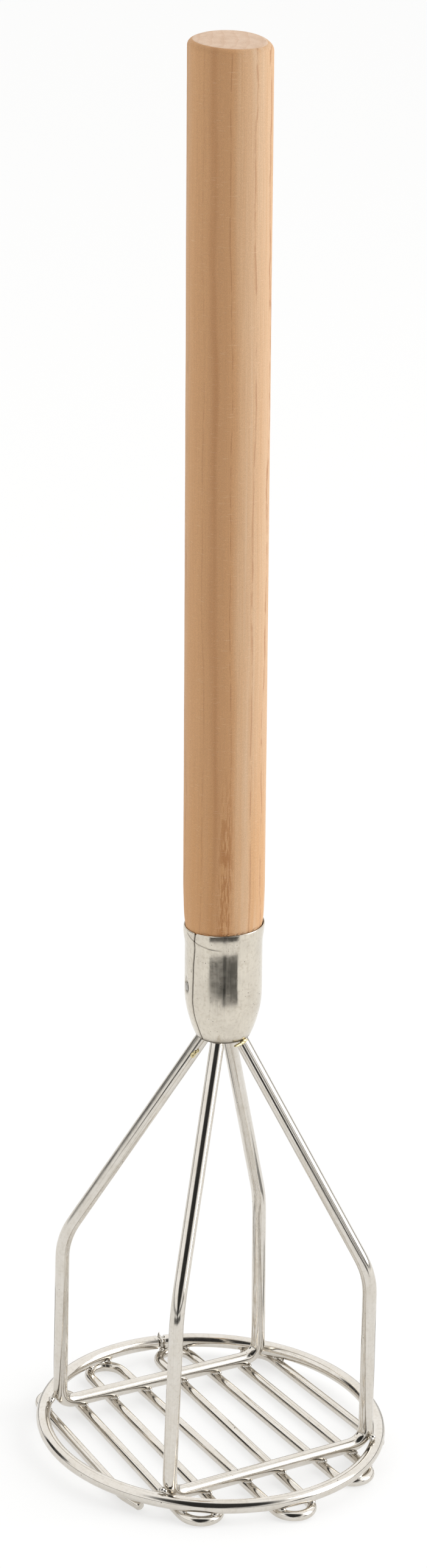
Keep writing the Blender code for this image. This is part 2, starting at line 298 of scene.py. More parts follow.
def ripple(point, size, seed=0.0):
    """Smooth noise from -1 to 1 at a point in millimetres."""
    return noise.noise(Vector(point) / size + Vector((seed, seed * 1.7, -seed)))


# ---- node tools


def add(tree, kind, inputs=None, **settings):
    """Adds a node.  inputs maps a socket's name or number to a value or to another node's output."""
    made = tree.nodes.new(kind)
    for label, value in settings.items():
        setattr(made, label, value)
    for key, value in (inputs or {}).items():
        if isinstance(value, bpy.types.NodeSocket):
            tree.links.new(value, made.inputs[key])
        else:
            made.inputs[key].default_value = value
    return made


def sums(tree, operation, first, second=0.0, third=0.0, clamp=False):
    """Output of one math node."""
    values = {0: first, 1: second, 2: third}
    return add(tree, "ShaderNodeMath", values, operation=operation, use_clamp=clamp).outputs[0]


def times(tree, first, second, clamp=False):
    return sums(tree, "MULTIPLY", first, second, clamp=clamp)


def plus(tree, first, share, rest, clamp=False):
    """A share of the first value, added to the rest."""
    return sums(tree, "MULTIPLY_ADD", first, share, rest, clamp)


def vectors(tree, operation, first, second=(0.0, 0.0, 0.0)):
    """Output of one vector math node."""
    return add(tree, "ShaderNodeVectorMath", {0: first, 1: second}, operation=operation).outputs[0]


def scaled(tree, vector, sizes):
    return vectors(tree, "MULTIPLY", vector, sizes)


def blended(tree, share, first, second):
    """Colour output of one mix node."""
    made = add(tree, "ShaderNodeMix", data_type="RGBA", clamp_result=True)
    for key, value in ((0, share), (6, first), (7, second)):
        if isinstance(value, bpy.types.NodeSocket):
            tree.links.new(value, made.inputs[key])
        else:
            made.inputs[key].default_value = value
    return made.outputs[2]


def curve_of(tree, value, low, high, out_low=0.0, out_high=1.0):
    """A value moved smoothly from one range to another."""
    inputs = {0: value, 1: low, 2: high, 3: out_low, 4: out_high}
    return add(tree, "ShaderNodeMapRange", inputs, interpolation_type="SMOOTHSTEP").outputs[0]


def speckle(tree, vector, scale, detail=2.0):
    inputs = {"Vector": vector, "Scale": scale, "Detail": detail}
    return add(tree, "ShaderNodeTexNoise", inputs).outputs["Fac"]


def ramp(tree, value, stops, interpolation="EASE"):
    made = add(tree, "ShaderNodeValToRGB", {0: value})
    made.color_ramp.interpolation = interpolation
    elements = made.color_ramp.elements
    while len(elements) > 1:
        elements.remove(elements[-1])
    elements[0].position, elements[0].color = stops[0][0], (*stops[0][1], 1.0)
    for place, colour in stops[1:]:
        elements.new(place).color = (*colour, 1.0)
    return made.outputs[0]


def new_group(name, kind, inputs, outputs):
    """A node group with its named inputs and outputs; returns the tree and both of its end nodes."""
    tree = bpy.data.node_groups.new(name, kind)
    for label, socket, value in inputs:
        made = tree.interface.new_socket(label, in_out="INPUT", socket_type=socket)
        if value is not None:
            made.default_value = value
    for label, socket in outputs:
        tree.interface.new_socket(label, in_out="OUTPUT", socket_type=socket)
    return tree, tree.nodes.new("NodeGroupInput").outputs, tree.nodes.new("NodeGroupOutput").inputs


FLOAT = "NodeSocketFloat"
VECTOR = "NodeSocketVector"
COLOUR = "NodeSocketColor"
SHAPE = "NodeSocketGeometry"


def group_node(tree, group, **inputs):
    made = add(tree, "ShaderNodeGroup", node_tree=group)
    for label, value in inputs.items():
        socket = made.inputs[label.replace("_", " ").title()]
        if isinstance(value, bpy.types.NodeSocket):
            tree.links.new(value, socket)
        else:
            socket.default_value = value
    return made.outputs


# ---- effects shared by the finishes


def pitting_effect(name):
    """Small dark pits and flecks, scattered in patches."""
    tree, given, out = new_group(
        name, "ShaderNodeTree",
        [("Vector", VECTOR, None), ("Scale", FLOAT, 1.0), ("Amount", FLOAT, 0.3)],
        [("Mask", FLOAT)],
    )
    cells = add(tree, "ShaderNodeTexVoronoi", {"Vector": given["Vector"], "Scale": given["Scale"]})
    patches = speckle(tree, given["Vector"], 0.35)
    chosen = add(tree, "ShaderNodeSeparateXYZ", {0: cells.outputs["Color"]}).outputs[0]
    reach = times(tree, given["Amount"], curve_of(tree, patches, 0.35, 0.75))
    reach = times(tree, reach, curve_of(tree, chosen, 0.55, 1.0))
    inside = sums(tree, "SUBTRACT", reach, cells.outputs["Distance"])
    tree.links.new(curve_of(tree, inside, 0.0, 0.05), out["Mask"])
    return tree


def stretched_effect(name):
    """Noise drawn out along one direction, for wood fibres and for the marks of drawing and turning."""
    tree, given, out = new_group(
        name, "ShaderNodeTree",
        [("Vector", VECTOR, None), ("Across", FLOAT, 2.0), ("Along", FLOAT, 0.05), ("Contrast", FLOAT, 0.2)],
        [("Mask", FLOAT)],
    )
    size = add(tree, "ShaderNodeCombineXYZ", {0: given["Across"], 1: given["Across"], 2: given["Along"]})
    cloud = speckle(tree, scaled(tree, given["Vector"], size.outputs[0]), 1.0, 4.0)
    low = sums(tree, "SUBTRACT", 0.5, given["Contrast"])
    high = sums(tree, "ADD", 0.5, given["Contrast"])
    tree.links.new(curve_of(tree, cloud, low, high), out["Mask"])
    return tree


def pitting(tree, **inputs):
    return group_node(tree, fresh("pitting", pitting_effect), **inputs)["Mask"]


def stretched(tree, **inputs):
    return group_node(tree, fresh("stretched", stretched_effect), **inputs)["Mask"]


def plate_effect(name):
    """Nickel plate: drawing marks, smudges, pits, heat stain and painted shade as colour, roughness and
    height.
    """
    tree, given, out = new_group(
        name, "ShaderNodeTree",
        [
            ("Vector", VECTOR, None), ("Marks", VECTOR, None), ("Heat", FLOAT, 0.0),
            ("Grime", FLOAT, 0.0), ("Plate", COLOUR, None), ("Stain", COLOUR, None),
            ("Polish", FLOAT, 0.12), ("Pits", FLOAT, 0.3), ("Pit Scale", FLOAT, 1.2),
            ("Grain", FLOAT, 0.3), ("Smudges", FLOAT, 0.35),
        ],
        [("Color", COLOUR), ("Roughness", FLOAT), ("Height", FLOAT)],
    )
    marks = stretched(tree, vector=given["Marks"], across=2.2, along=0.10)
    pits = pitting(tree, vector=given["Vector"], scale=given["Pit Scale"], amount=given["Pits"])
    smudge = curve_of(tree, speckle(tree, given["Vector"], 0.16, 3.0), 0.38, 0.68)
    haze = curve_of(tree, speckle(tree, given["Vector"], 0.9, 4.0), 0.45, 0.75)
    smudged = times(tree, smudge, given["Smudges"])
    plain = blended(tree, smudged, given["Plate"], (0.60, 0.55, 0.47, 1.0))
    specks = times(tree, haze, times(tree, given["Smudges"], 0.6))
    plain = blended(tree, specks, plain, (0.42, 0.36, 0.28, 1.0))
    plain = blended(tree, times(tree, marks, 0.16), plain, (0.50, 0.46, 0.41, 1.0))
    # the heat input also carries painted shade on the undersides of wires and welds
    warm = times(tree, given["Heat"], plus(tree, haze, 0.6, 0.45), clamp=True)
    plain = blended(tree, warm, plain, given["Stain"])
    # the grime input also carries painted shade inside the ferrule
    dark = times(tree, given["Grime"], plus(tree, haze, -0.3, 1.0), clamp=True)
    dark = sums(tree, "MAXIMUM", pits, dark)
    tree.links.new(blended(tree, dark, plain, (0.075, 0.058, 0.042, 1.0)), out["Color"])
    rough = plus(tree, marks, 0.05, given["Polish"])
    rough = plus(tree, smudge, 0.06, rough)
    rough = plus(tree, warm, 0.22, rough)
    tree.links.new(plus(tree, dark, 0.4, rough, clamp=True), out["Roughness"])
    height = plus(tree, marks, 0.1, times(tree, haze, given["Grain"]))
    tree.links.new(sums(tree, "SUBTRACT", height, pits), out["Height"])
    return tree


def shader_of(name, metallic, specular=0.5):
    material = bpy.data.materials.new(name)
    material.use_nodes = True
    tree = material.node_tree
    shader = tree.nodes["Principled BSDF"]
    shader.inputs["Metallic"].default_value = metallic
    shader.inputs["Specular IOR Level"].default_value = specular
    return material, tree, shader.inputs


def frame_coordinates(tree, matrix):
    """Object coordinates turned into a piece's own millimetres."""
    place, turn, scale = matrix.decompose()
    inputs = {
        "Vector": add(tree, "ShaderNodeTexCoord").outputs["Object"],
        "Location": place,
        "Rotation": turn.to_euler(),
        "Scale": scale,
    }
    return add(tree, "ShaderNodeMapping", inputs, vector_type="TEXTURE").outputs[0]


def dress(tree, surface, colour, rough, height, strength, distance):
    """Joins a colour, a roughness and a relief of some height in millimetres to the shader."""
    inputs = {"Height": height, "Strength": strength, "Distance": distance * MM}
    bump = add(tree, "ShaderNodeBump", inputs).outputs[0]
    for label, value in (("Base Color", colour), ("Roughness", rough), ("Normal", bump)):
        tree.links.new(value, surface[label])


def plated(name, matrix, shade=(1.0, 1.0, 1.0), drawn=False, stained=True, bump=0.02, **effect):
    """A nickel-plated finish; drawn wire reads its marks from the sweep's own attributes."""
    wire = bpy.context.scene.masher_wire
    material, tree, surface = shader_of(name, 1.0)
    own = frame_coordinates(tree, matrix)
    marks = own
    if drawn:
        around = add(tree, "ShaderNodeAttribute", attribute_name="around").outputs["Vector"]
        along = add(tree, "ShaderNodeAttribute", attribute_name="along").outputs["Fac"]
        run = add(tree, "ShaderNodeCombineXYZ", {2: times(tree, along, 1.0 / MM)}).outputs[0]
        marks = vectors(tree, "ADD", scaled(tree, around, (2.2, 2.2, 0.0)), run)
    if stained:
        for label in ("heat", "grime"):
            effect[label] = add(tree, "ShaderNodeAttribute", attribute_name=label).outputs["Fac"]
    plate = group_node(
        tree, fresh("nickel_plate", plate_effect), vector=own, marks=marks,
        plate=(*(part * share for part, share in zip(wire.plate, shade)), 1.0),
        stain=(*wire.heat, 1.0), **effect,
    )
    dress(tree, surface, plate["Color"], plate["Roughness"], plate["Height"], 0.25, bump)
    return material


def wire_finish(name):
    return plated(name, ring_matrix(), drawn=True, polish=0.08, pits=0.22, pit_scale=0.7, grain=0.05)


def ferrule_finish(name):
    return plated(
        name, axis_matrix(), (0.99, 0.965, 0.90), bump=0.03, polish=0.11, pits=0.38, pit_scale=2.1,
        smudges=0.6,
    )


def weld_finish(name):
    return plated(
        name, ring_matrix(), (0.88, 0.86, 0.84), bump=0.05, polish=0.16, pits=0.35, pit_scale=1.6
    )


def nail_finish(name):
    return plated(
        name, axis_matrix(), (0.9, 0.9, 0.9), stained=False, bump=0.05, polish=0.2, pits=0.4,
        pit_scale=2.5,
    )


def braze_finish(name):
    """Yellow brazing metal, dull where the flux has burnt."""
    brass = bpy.context.scene.masher_wire.brass
    material, tree, surface = shader_of(name, 1.0)
    own = frame_coordinates(tree, axis_matrix())
    burnt = curve_of(tree, speckle(tree, own, 0.6, 3.0), 0.4, 0.7)
    pits = pitting(tree, vector=own, scale=2.5, amount=0.15)
    colour = blended(tree, burnt, (*brass, 1.0), (0.36, 0.29, 0.17, 1.0))
    colour = blended(tree, pits, colour, (0.08, 0.06, 0.03, 1.0))
    dress(tree, surface, colour, plus(tree, burnt, 0.2, 0.32), burnt, 0.2, 0.04)
    return material


def wood_frame():
    """Like axis_matrix, but with X across the dowel's flat-sawn face, which gives the grain its way."""
    return axis_matrix() @ Matrix.Rotation(radians(LEFT_AZIMUTH - 180.0), 4, "Z")


def sanded(tree, colour, sand):
    """Light and dark grit over a colour."""
    value = curve_of(tree, sand, 0.25, 0.75, 0.90, 1.10)
    return add(tree, "ShaderNodeHueSaturation", {"Color": colour, "Value": value}).outputs[0]


def thin_lines(marks):
    """Stops of a ramp that is black but for one thin line at each (start, peak, end, strength)."""
    stops = [(0.0, (0.0,) * 3)]
    for start, peak, end, strength in marks:
        stops += [(start, (0.0,) * 3), (peak, (strength,) * 3), (end, (0.0,) * 3)]
    return stops


def wood_finish(name):
    """Long grain: soft bands, a few thin lines, fibres, turning flecks and darker mineral streaks.  The
    bands are
    partly grain and partly painted light: pale on the side that faces the softbox, with a band of painted
    shade down the front.
    """
    wood = bpy.context.scene.masher_handle
    material, tree, surface = shader_of(name, 0.0, specular=0.15)
    own = frame_coordinates(tree, wood_frame())
    parts = add(tree, "ShaderNodeSeparateXYZ", {0: own}).outputs
    drift = speckle(tree, scaled(tree, own, (0.05, 0.05, 0.012)), 1.0, 2.0)
    shake = speckle(tree, scaled(tree, own, (0.3, 0.3, 0.11)), 1.0, 3.0)
    across = plus(tree, sums(tree, "SUBTRACT", drift, 0.5), 5.0, parts[0])
    across = plus(tree, sums(tree, "SUBTRACT", shake, 0.5), 0.7, across)
    place = sums(tree, "DIVIDE", sums(tree, "ADD", across, 14.0), 28.0)
    pale_and_lit, warm, deep_and_shaded = (Vector(tone) for tone in (wood.pale_and_lit, wood.warm, wood.deep_and_shaded))
    # partly painted light: the pale stops fall on the side towards the softbox, the deep stop is painted
    # shade just left of the middle of the front
    bands = ramp(tree, place, (
        (0.0, pale_and_lit), (0.06, pale_and_lit.lerp(warm, 0.6)), (0.13, warm), (0.30, warm.lerp(deep_and_shaded, 0.25)),
        (0.385, deep_and_shaded), (0.43, warm.lerp(deep_and_shaded, 0.45)), (0.56, warm.lerp(deep_and_shaded, 0.35)),
        (0.64, warm.lerp(pale_and_lit, 0.5)), (0.76, pale_and_lit), (0.88, pale_and_lit.lerp(warm, 0.15)), (1.0, pale_and_lit),
    ))
    lines = ramp(tree, place, thin_lines((
        (0.060, 0.070, 0.076, 0.5), (0.25, 0.262, 0.270, 0.35), (0.543, 0.553, 0.559, 0.8),
        (0.775, 0.792, 0.797, 0.7), (0.905, 0.914, 0.919, 1.0),
    )), "LINEAR")
    fibres = stretched(tree, vector=own, across=2.6, along=0.05, contrast=0.18)
    streaks = stretched(tree, vector=own, across=0.55, along=0.008, contrast=0.16)
    level = scaled(tree, own, (0.35, 0.35, 3.0))
    flecks = curve_of(tree, speckle(tree, level, 1.0, 3.0), 0.60, 0.74)
    patches = speckle(tree, scaled(tree, own, (0.8, 0.8, 0.16)), 1.0)
    broken = curve_of(tree, patches, 0.35, 0.6)
    sand = speckle(tree, own, 4.5, 3.0)
    low = curve_of(tree, parts[2], 240.0, 200.0)
    near = curve_of(tree, sums(tree, "ABSOLUTE", sums(tree, "SUBTRACT", across, 0.4)), 3.2, 0.6)
    dashes = stretched(tree, vector=own, across=1.7, along=0.22, contrast=0.07)
    dashes = times(tree, times(tree, dashes, low), near)
    colour = blended(tree, times(tree, streaks, 0.42), bands, (*warm.lerp(deep_and_shaded, 0.35), 1.0))
    colour = blended(tree, times(tree, fibres, 0.24), colour, (0.50, 0.28, 0.145, 1.0))
    rusty = times(tree, low, plus(tree, streaks, 0.35, 0.1))
    colour = blended(tree, rusty, colour, (0.62, 0.33, 0.14, 1.0))
    colour = blended(tree, times(tree, lines, broken), colour, (*wood.line, 1.0))
    colour = blended(tree, times(tree, dashes, 0.7), colour, (0.40, 0.17, 0.06, 1.0))
    colour = blended(tree, times(tree, flecks, 0.22), colour, (0.80, 0.58, 0.40, 1.0))
    colour = sanded(tree, colour, sand)
    height = plus(tree, fibres, 0.5, times(tree, flecks, -0.6))
    height = plus(tree, sand, 0.6, height)
    dress(tree, surface, colour, plus(tree, fibres, 0.15, 0.52), height, 0.35, 0.06)
    return material


def end_grain_finish(name):
    """The sawn end of the dowel: faint year rings, pores and a smoothed surface."""
    wood = bpy.context.scene.masher_handle
    material, tree, surface = shader_of(name, 0.0, specular=0.3)
    own = frame_coordinates(tree, wood_frame())
    wander = speckle(tree, own, 0.16, 2.0)
    parts = add(tree, "ShaderNodeSeparateXYZ", {0: own}).outputs
    bow = times(tree, times(tree, parts[1], parts[1]), 0.012)
    across = plus(tree, wander, 3.0, sums(tree, "ADD", parts[0], bow))
    rings = sums(tree, "FRACT", times(tree, across, 0.28))
    rings = curve_of(tree, rings, 0.55, 0.98)
    pores = pitting(tree, vector=own, scale=3.2, amount=0.55)
    soft = curve_of(tree, speckle(tree, own, 0.35, 3.0), 0.35, 0.7)
    sand = speckle(tree, own, 5.0, 3.0)
    colour = blended(tree, times(tree, rings, 0.25), (*wood.end, 1.0), (*wood.deep_and_shaded, 1.0))
    colour = blended(tree, times(tree, soft, 0.45), colour, (0.60, 0.41, 0.28, 1.0))
    colour = blended(tree, times(tree, pores, 0.35), colour, (0.34, 0.20, 0.11, 1.0))
    colour = sanded(tree, colour, sand)
    dress(tree, surface, colour, plus(tree, soft, 0.12, 0.5), sums(tree, "ADD", soft, sand), 0.4, 0.08)
    return material


# ---- geometry trees


def waved(tree, shape, size, height, material):
    """Lays waves of a size and height in metres over a shape, and gives it its material."""
    place = add(tree, "GeometryNodeInputPosition").outputs[0]
    waves = speckle(tree, place, sums(tree, "DIVIDE", 1.0, size), 2.0)
    lift = times(tree, sums(tree, "SUBTRACT", waves, 0.5), height)
    normal = add(tree, "GeometryNodeInputNormal").outputs[0]
    offset = add(tree, "ShaderNodeVectorMath", {0: normal, "Scale": lift}, operation="SCALE").outputs[0]
    shape = add(tree, "GeometryNodeSetPosition", {"Geometry": shape, "Offset": offset}).outputs[0]
    shape = add(tree, "GeometryNodeSetShadeSmooth", {"Geometry": shape}).outputs[0]
    shape = add(tree, "GeometryNodeRealizeInstances", {"Geometry": shape}).outputs[0]
    return add(tree, "GeometryNodeSetMaterial", {"Geometry": shape, "Material": material}).outputs[0]


def wire_sweep(name):
    """Sweeps a round wire along a line of edges.  It keeps where a point lies along and around the
    wire, rounds the cut ends and lays low waves over the surface."""
    tree, given, out = new_group(
        name, "GeometryNodeTree",
        [
            ("Geometry", SHAPE, None), ("Radius", FLOAT, 0.002), ("Sides", "NodeSocketInt", 32),
            ("Ripple", FLOAT, 0.0), ("Ripple Size", FLOAT, 0.008), ("End Round", FLOAT, 0.0006),
            ("Material", "NodeSocketMaterial", None),
        ],
        [("Geometry", SHAPE)],
    )
    line = add(tree, "GeometryNodeMeshToCurve", {"Mesh": given["Geometry"]}).outputs[0]
    spot = add(tree, "GeometryNodeSplineParameter").outputs
    total = add(tree, "GeometryNodeSplineLength").outputs["Length"]
    line = add(
        tree, "GeometryNodeStoreNamedAttribute",
        {"Geometry": line, "Name": "along", "Value": spot["Length"]}, domain="POINT", data_type="FLOAT",
    ).outputs[0]
    to_end = sums(tree, "MINIMUM", spot["Length"], sums(tree, "SUBTRACT", total, spot["Length"]))
    full = curve_of(tree, to_end, 0.0, given["End Round"], 0.72, 1.0)
    circle = add(
        tree, "GeometryNodeCurvePrimitiveCircle", {"Resolution": given["Sides"], "Radius": given["Radius"]}
    ).outputs[0]
    place = add(tree, "GeometryNodeInputPosition").outputs[0]
    inverse = sums(tree, "DIVIDE", 1.0, given["Radius"])
    around = add(tree, "ShaderNodeVectorMath", {0: place, "Scale": inverse}, operation="SCALE").outputs[0]
    circle = add(
        tree, "GeometryNodeStoreNamedAttribute",
        {"Geometry": circle, "Name": "around", "Value": around}, domain="POINT", data_type="FLOAT_VECTOR",
    ).outputs[0]
    swept = add(
        tree, "GeometryNodeCurveToMesh",
        {"Curve": line, "Profile Curve": circle, "Scale": full, "Fill Caps": True},
    ).outputs[0]
    tree.links.new(waved(tree, swept, given["Ripple Size"], given["Ripple"], given["Material"]), out[0])
    return tree


def weld_lumps(name):
    """Puts a lump of metal at each point, with the size and turn that the point carries, and makes
    every lump a little different."""
    tree, given, out = new_group(
        name, "GeometryNodeTree",
        [
            ("Geometry", SHAPE, None), ("Roundness", "NodeSocketInt", 3), ("Lump", FLOAT, 0.0003),
            ("Lump Size", FLOAT, 0.0012), ("Material", "NodeSocketMaterial", None),
        ],
        [("Geometry", SHAPE)],
    )
    size, turn = (
        add(
            tree, "GeometryNodeInputNamedAttribute", {"Name": label}, data_type="FLOAT_VECTOR"
        ).outputs["Attribute"]
        for label in ("size", "turn")
    )
    ball = add(
        tree, "GeometryNodeMeshIcoSphere", {"Radius": 1.0, "Subdivisions": given["Roundness"]}
    ).outputs[0]
    points = add(tree, "GeometryNodeMeshToPoints", {"Mesh": given["Geometry"]}).outputs[0]
    lumps = add(
        tree, "GeometryNodeInstanceOnPoints",
        {"Points": points, "Instance": ball, "Rotation": turn, "Scale": size},
    ).outputs[0]
    lumps = add(tree, "GeometryNodeRealizeInstances", {"Geometry": lumps}).outputs[0]
    tree.links.new(waved(tree, lumps, given["Lump Size"], given["Lump"], given["Material"]), out[0])
    return tree


def grown(name, source, tree, values):
    """Runs a geometry tree on a source mesh and returns its result as a plain mesh object."""
    maker = link(name + "_source", source)
    modifier = maker.modifiers.new(tree.name, "NODES")
    modifier.node_group = tree
    for socket in tree.interface.items_tree:
        if socket.item_type == "SOCKET" and socket.in_out == "INPUT" and socket.name in values:
            modifier[socket.identifier] = values[socket.name]
    graph = bpy.context.evaluated_depsgraph_get()
    mesh = bpy.data.meshes.new_from_object(maker.evaluated_get(graph))
    maker.modifiers.remove(modifier)
    bpy.data.objects.remove(maker)
    if not mesh.polygons:
        raise RuntimeError(f"the tree {tree.name} made nothing for {name}")
    mesh.name = name
    return link(name, mesh)


# ---- wire paths


def rounded_path(corners, radii):
    """Straight lines between the corners, with an arc of its own radius at each inner one."""
    points = [Vector(corners[0])]
    for before, corner, after, radius in zip(corners, corners[1:], corners[2:], radii):
        corner = Vector(corner)
        towards = (Vector(before) - corner).normalized()
        away = (Vector(after) - corner).normalized()
        half = towards.angle(away) / 2.0
        middle = corner + (towards + away).normalized() * (radius / sin(half))
        start = corner + towards * (radius / tan(half))
        end = corner + away * (radius / tan(half))
        count = max(4, round(48 * (pi - 2.0 * half) / pi))
        for step in range(count + 1):
            arm = (start - middle).slerp(end - middle, step / count).normalized()
            points.append(middle + arm * radius)
    points.append(Vector(corners[-1]))
    return points


def run_x(index, y):
    """X of one of the grid's eight straight runs, which aren't quite parallel."""
    share = (y + STATION_Y) / (2.0 * STATION_Y)
    return FRONT_X[index] + (REAR_X[index] - FRONT_X[index]) * share


def loop_points(left, centre_y, side):
    """A half circle from one run to the next, bulging to the rear (side 1) or to the front (-1)."""
    start = Vector((run_x(left, centre_y), centre_y, -GRID_DROP))
    end = Vector((run_x(left + 1, centre_y), centre_y, -GRID_DROP))
    middle, radius = (start + end) / 2.0, (end - start).length / 2.0
    turns = [pi * (1.0 - step / LOOP_STEPS) for step in range(LOOP_STEPS + 1)]
    return [middle + radius * Vector((cos(turn), side * sin(turn), 0.0)) for turn in turns]


def grid_path():
    points = [Vector((run_x(0, FIRST_END_Y) + 2.5, FIRST_END_Y, -GRID_DROP))]
    points.append(Vector((run_x(0, FIRST_END_Y + 9.0), FIRST_END_Y + 9.0, -GRID_DROP)))
    for left in range(7):
        rear = left % 2 == 0
        centre_y = (REAR_LOOP_Y if rear else FRONT_LOOP_Y)[left // 2]
        points += loop_points(left, centre_y, 1.0 if rear else -1.0)
    points.append(Vector((run_x(7, LAST_END_Y), LAST_END_Y, -GRID_DROP)))
    return points


def ring_radius():
    wire = bpy.context.scene.masher_wire
    return (RING_BOX[1].x - RING_BOX[0].x) / 2.0 / MM - wire.heavy / MM


def ring_path():
    half_gap = degrees(RING_JOINT_GAP / 2.0 / ring_radius())
    start, sweep = RING_JOINT_ANGLE + half_gap, 360.0 - 2.0 * half_gap
    return [ring_radius() * unit(start + sweep * step / RING_STEPS) for step in range(RING_STEPS + 1)]


def bundle_point(height, corner):
    """Where a leg's wire runs inside the bundle, on the side of its own corner."""
    outward = Vector((corner[0] - AXIS_FOOT[0], corner[1] - AXIS_FOOT[1], 0.0)).normalized()
    return axis_point(height) + BUNDLE_R * outward


def frame_path(corners, bends):
    (left, right), (left_bend, right_bend) = corners, bends
    return rounded_path([
        bundle_point(WIRE_TOP_S, left), bundle_point(KNEE_S, left), left_bend, (*left, 0.0),
        (*right, 0.0), right_bend, bundle_point(KNEE_S, right), bundle_point(WIRE_TOP_S, right),
    ], BEND_RADII)


def evened(points):
    """The same path in short even steps, with its corners eased as a bending tool leaves them."""
    path = np.array([tuple(point) for point in points])
    far = np.concatenate([[0.0], np.cumsum(np.linalg.norm(np.diff(path, axis=0), axis=1))])
    places = np.linspace(0.0, far[-1], round(far[-1] / PATH_STEP) + 1)
    path = np.stack([np.interp(places, far, path[:, part]) for part in range(3)], axis=1)
    for _ in range(EASING):
        path[1:-1] = 0.25 * path[:-2] + 0.5 * path[1:-1] + 0.25 * path[2:]
    return path


def swept_wire(name, points, radius):
    """One wire along a path in millimetres, with the heat stain of the welds near it and painted shade on
    its underside.
    """
    wire = bpy.context.scene.masher_wire
    path = [ring_matrix() @ Vector(point) for point in evened(points)]
    source = bpy.data.meshes.new(name + "_path")
    source.from_pydata(path, [(index, index + 1) for index in range(len(path) - 1)], [])
    item = grown(name, source, fresh("wire_sweep", wire_sweep), {
        "Radius": radius,
        "Sides": wire.sides,
        "Ripple": wire.ripple,
        "Ripple Size": 0.009,
        "End Round": 0.0006,
        "Material": fresh("nickel_wire", wire_finish),
    })
    item.data.set_sharp_from_angle(angle=radians(40.0))
    stain(item.data, [crossing[0] for crossing in crossings()], 4.2)
    return item


def stain(mesh, places, reach, soot=()):
    """Stores how much weld heat each vertex has seen: 1 at a weld, 0 beyond reach millimetres, and painted
    shade on every downward face, in the heat stain's colour.  Black grime gathers round the soot places."""
    points = np.empty(len(mesh.vertices) * 3)
    mesh.vertices.foreach_get("co", points)
    points = (points.reshape(-1, 3) - np.array(CENTRE)) / MM
    near = np.full(len(points), 1e9)
    for place in places:
        near = np.minimum(near, np.linalg.norm(points - np.array(place), axis=1))
    heat = np.clip(1.0 - (near - 1.6) / (reach - 1.6), 0.0, 1.0) ** 1.5
    normals = np.empty_like(points).ravel()
    mesh.vertex_normals.foreach_get("vector", normals)
    # painted shade: downward faces are darkened with the heat stain's colour, up to 0.42
    heat = np.maximum(heat, 0.42 * np.clip((-normals[2::3] - 0.1) / 0.6, 0.0, 1.0))
    store(mesh, "heat", heat)
    grime = np.zeros(len(points))
    for place in soot:
        away = np.linalg.norm(points - np.array(place), axis=1)
        grime = np.maximum(grime, np.clip(1.6 - away, 0.0, 0.9))
    store(mesh, "grime", grime)


# ---- where wires cross


def line_crossings(path, corners):
    """Where the grid passes under a straight crossbar."""
    start, end = Vector(corners[0]), Vector(corners[1])
    found = []
    for first, second in zip(path, path[1:]):
        way, bar = second.xy - first.xy, end - start
        cross = way.x * bar.y - way.y * bar.x
        if abs(cross) > 1e-9:
            gap = start - first.xy
            share = (gap.x * bar.y - gap.y * bar.x) / cross
            along = (gap.x * way.y - gap.y * way.x) / cross
            if 0.0 <= share < 1.0 and 0.0 < along < 1.0:
                found.append((first.xy + way * share, way.normalized()))
    return found


def circle_crossings(path, radius):
    """Where the grid passes under the ring."""
    found = []
    for first, second in zip(path, path[1:]):
        low, high = first.xy.length - radius, second.xy.length - radius
        if low * high < 0.0:
            way = second.xy - first.xy
            found.append((first.xy + way * (low / (low - high)), way.normalized()))
    return found


def crossings():
    """(place of the contact, direction of the grid there, which wire lies above)."""
    path = [Vector(point) for point in evened(grid_path())]
    level = -bpy.context.scene.masher_wire.heavy / MM - PRESSED
    found = []
    for label, corners in (("rear", REAR_CORNERS), ("front", FRONT_CORNERS)):
        for point, way in line_crossings(path, corners):
            found.append((Vector((*point, level)), way, label))
    for point, way in circle_crossings(path, ring_radius()):
        found.append((Vector((*point, level)), way, "ring"))
    return found


def lump_source(name, lumps):
    """A mesh of loose points that carry the size and the turn of each lump, in millimetres."""
    source = bpy.data.meshes.new(name + "_points")
    source.from_pydata([ring_matrix() @ Vector(lump[0]) for lump in lumps], [], [])
    for column, (label, scale) in enumerate((("size", MM), ("turn", 1.0)), 1):
        values = np.array([lump[column] for lump in lumps], dtype=np.float32)
        values *= scale
        data = source.attributes.new(label, "FLOAT_VECTOR", "POINT").data
        data.foreach_set("vector", values.ravel())
    return source


def lump_piece(name, lumps, finish, lump=0.3, lump_size=1.1, grain=0.14, passes=6):
    """Lumps of metal run together into one skin."""
    item = grown(name, lump_source(name, lumps), fresh("weld_lumps", weld_lumps), {
        "Roundness": 4, "Lump": lump * MM, "Lump Size": lump_size * MM, "Material": finish,
    })
    fuse = item.modifiers.new("fuse", "REMESH")
    fuse.mode = "VOXEL"
    fuse.voxel_size = grain * MM
    fuse.use_smooth_shade = True
    ease = item.modifiers.new("ease", "SMOOTH")
    ease.factor, ease.iterations = 0.5, passes
    mesh = bpy.data.meshes.new_from_object(item.evaluated_get(bpy.context.evaluated_depsgraph_get()))
    item.modifiers.clear()
    item.data = mesh
    mesh.name = name
    mesh.materials.clear()
    mesh.materials.append(finish)
    return item


# ---- the pieces


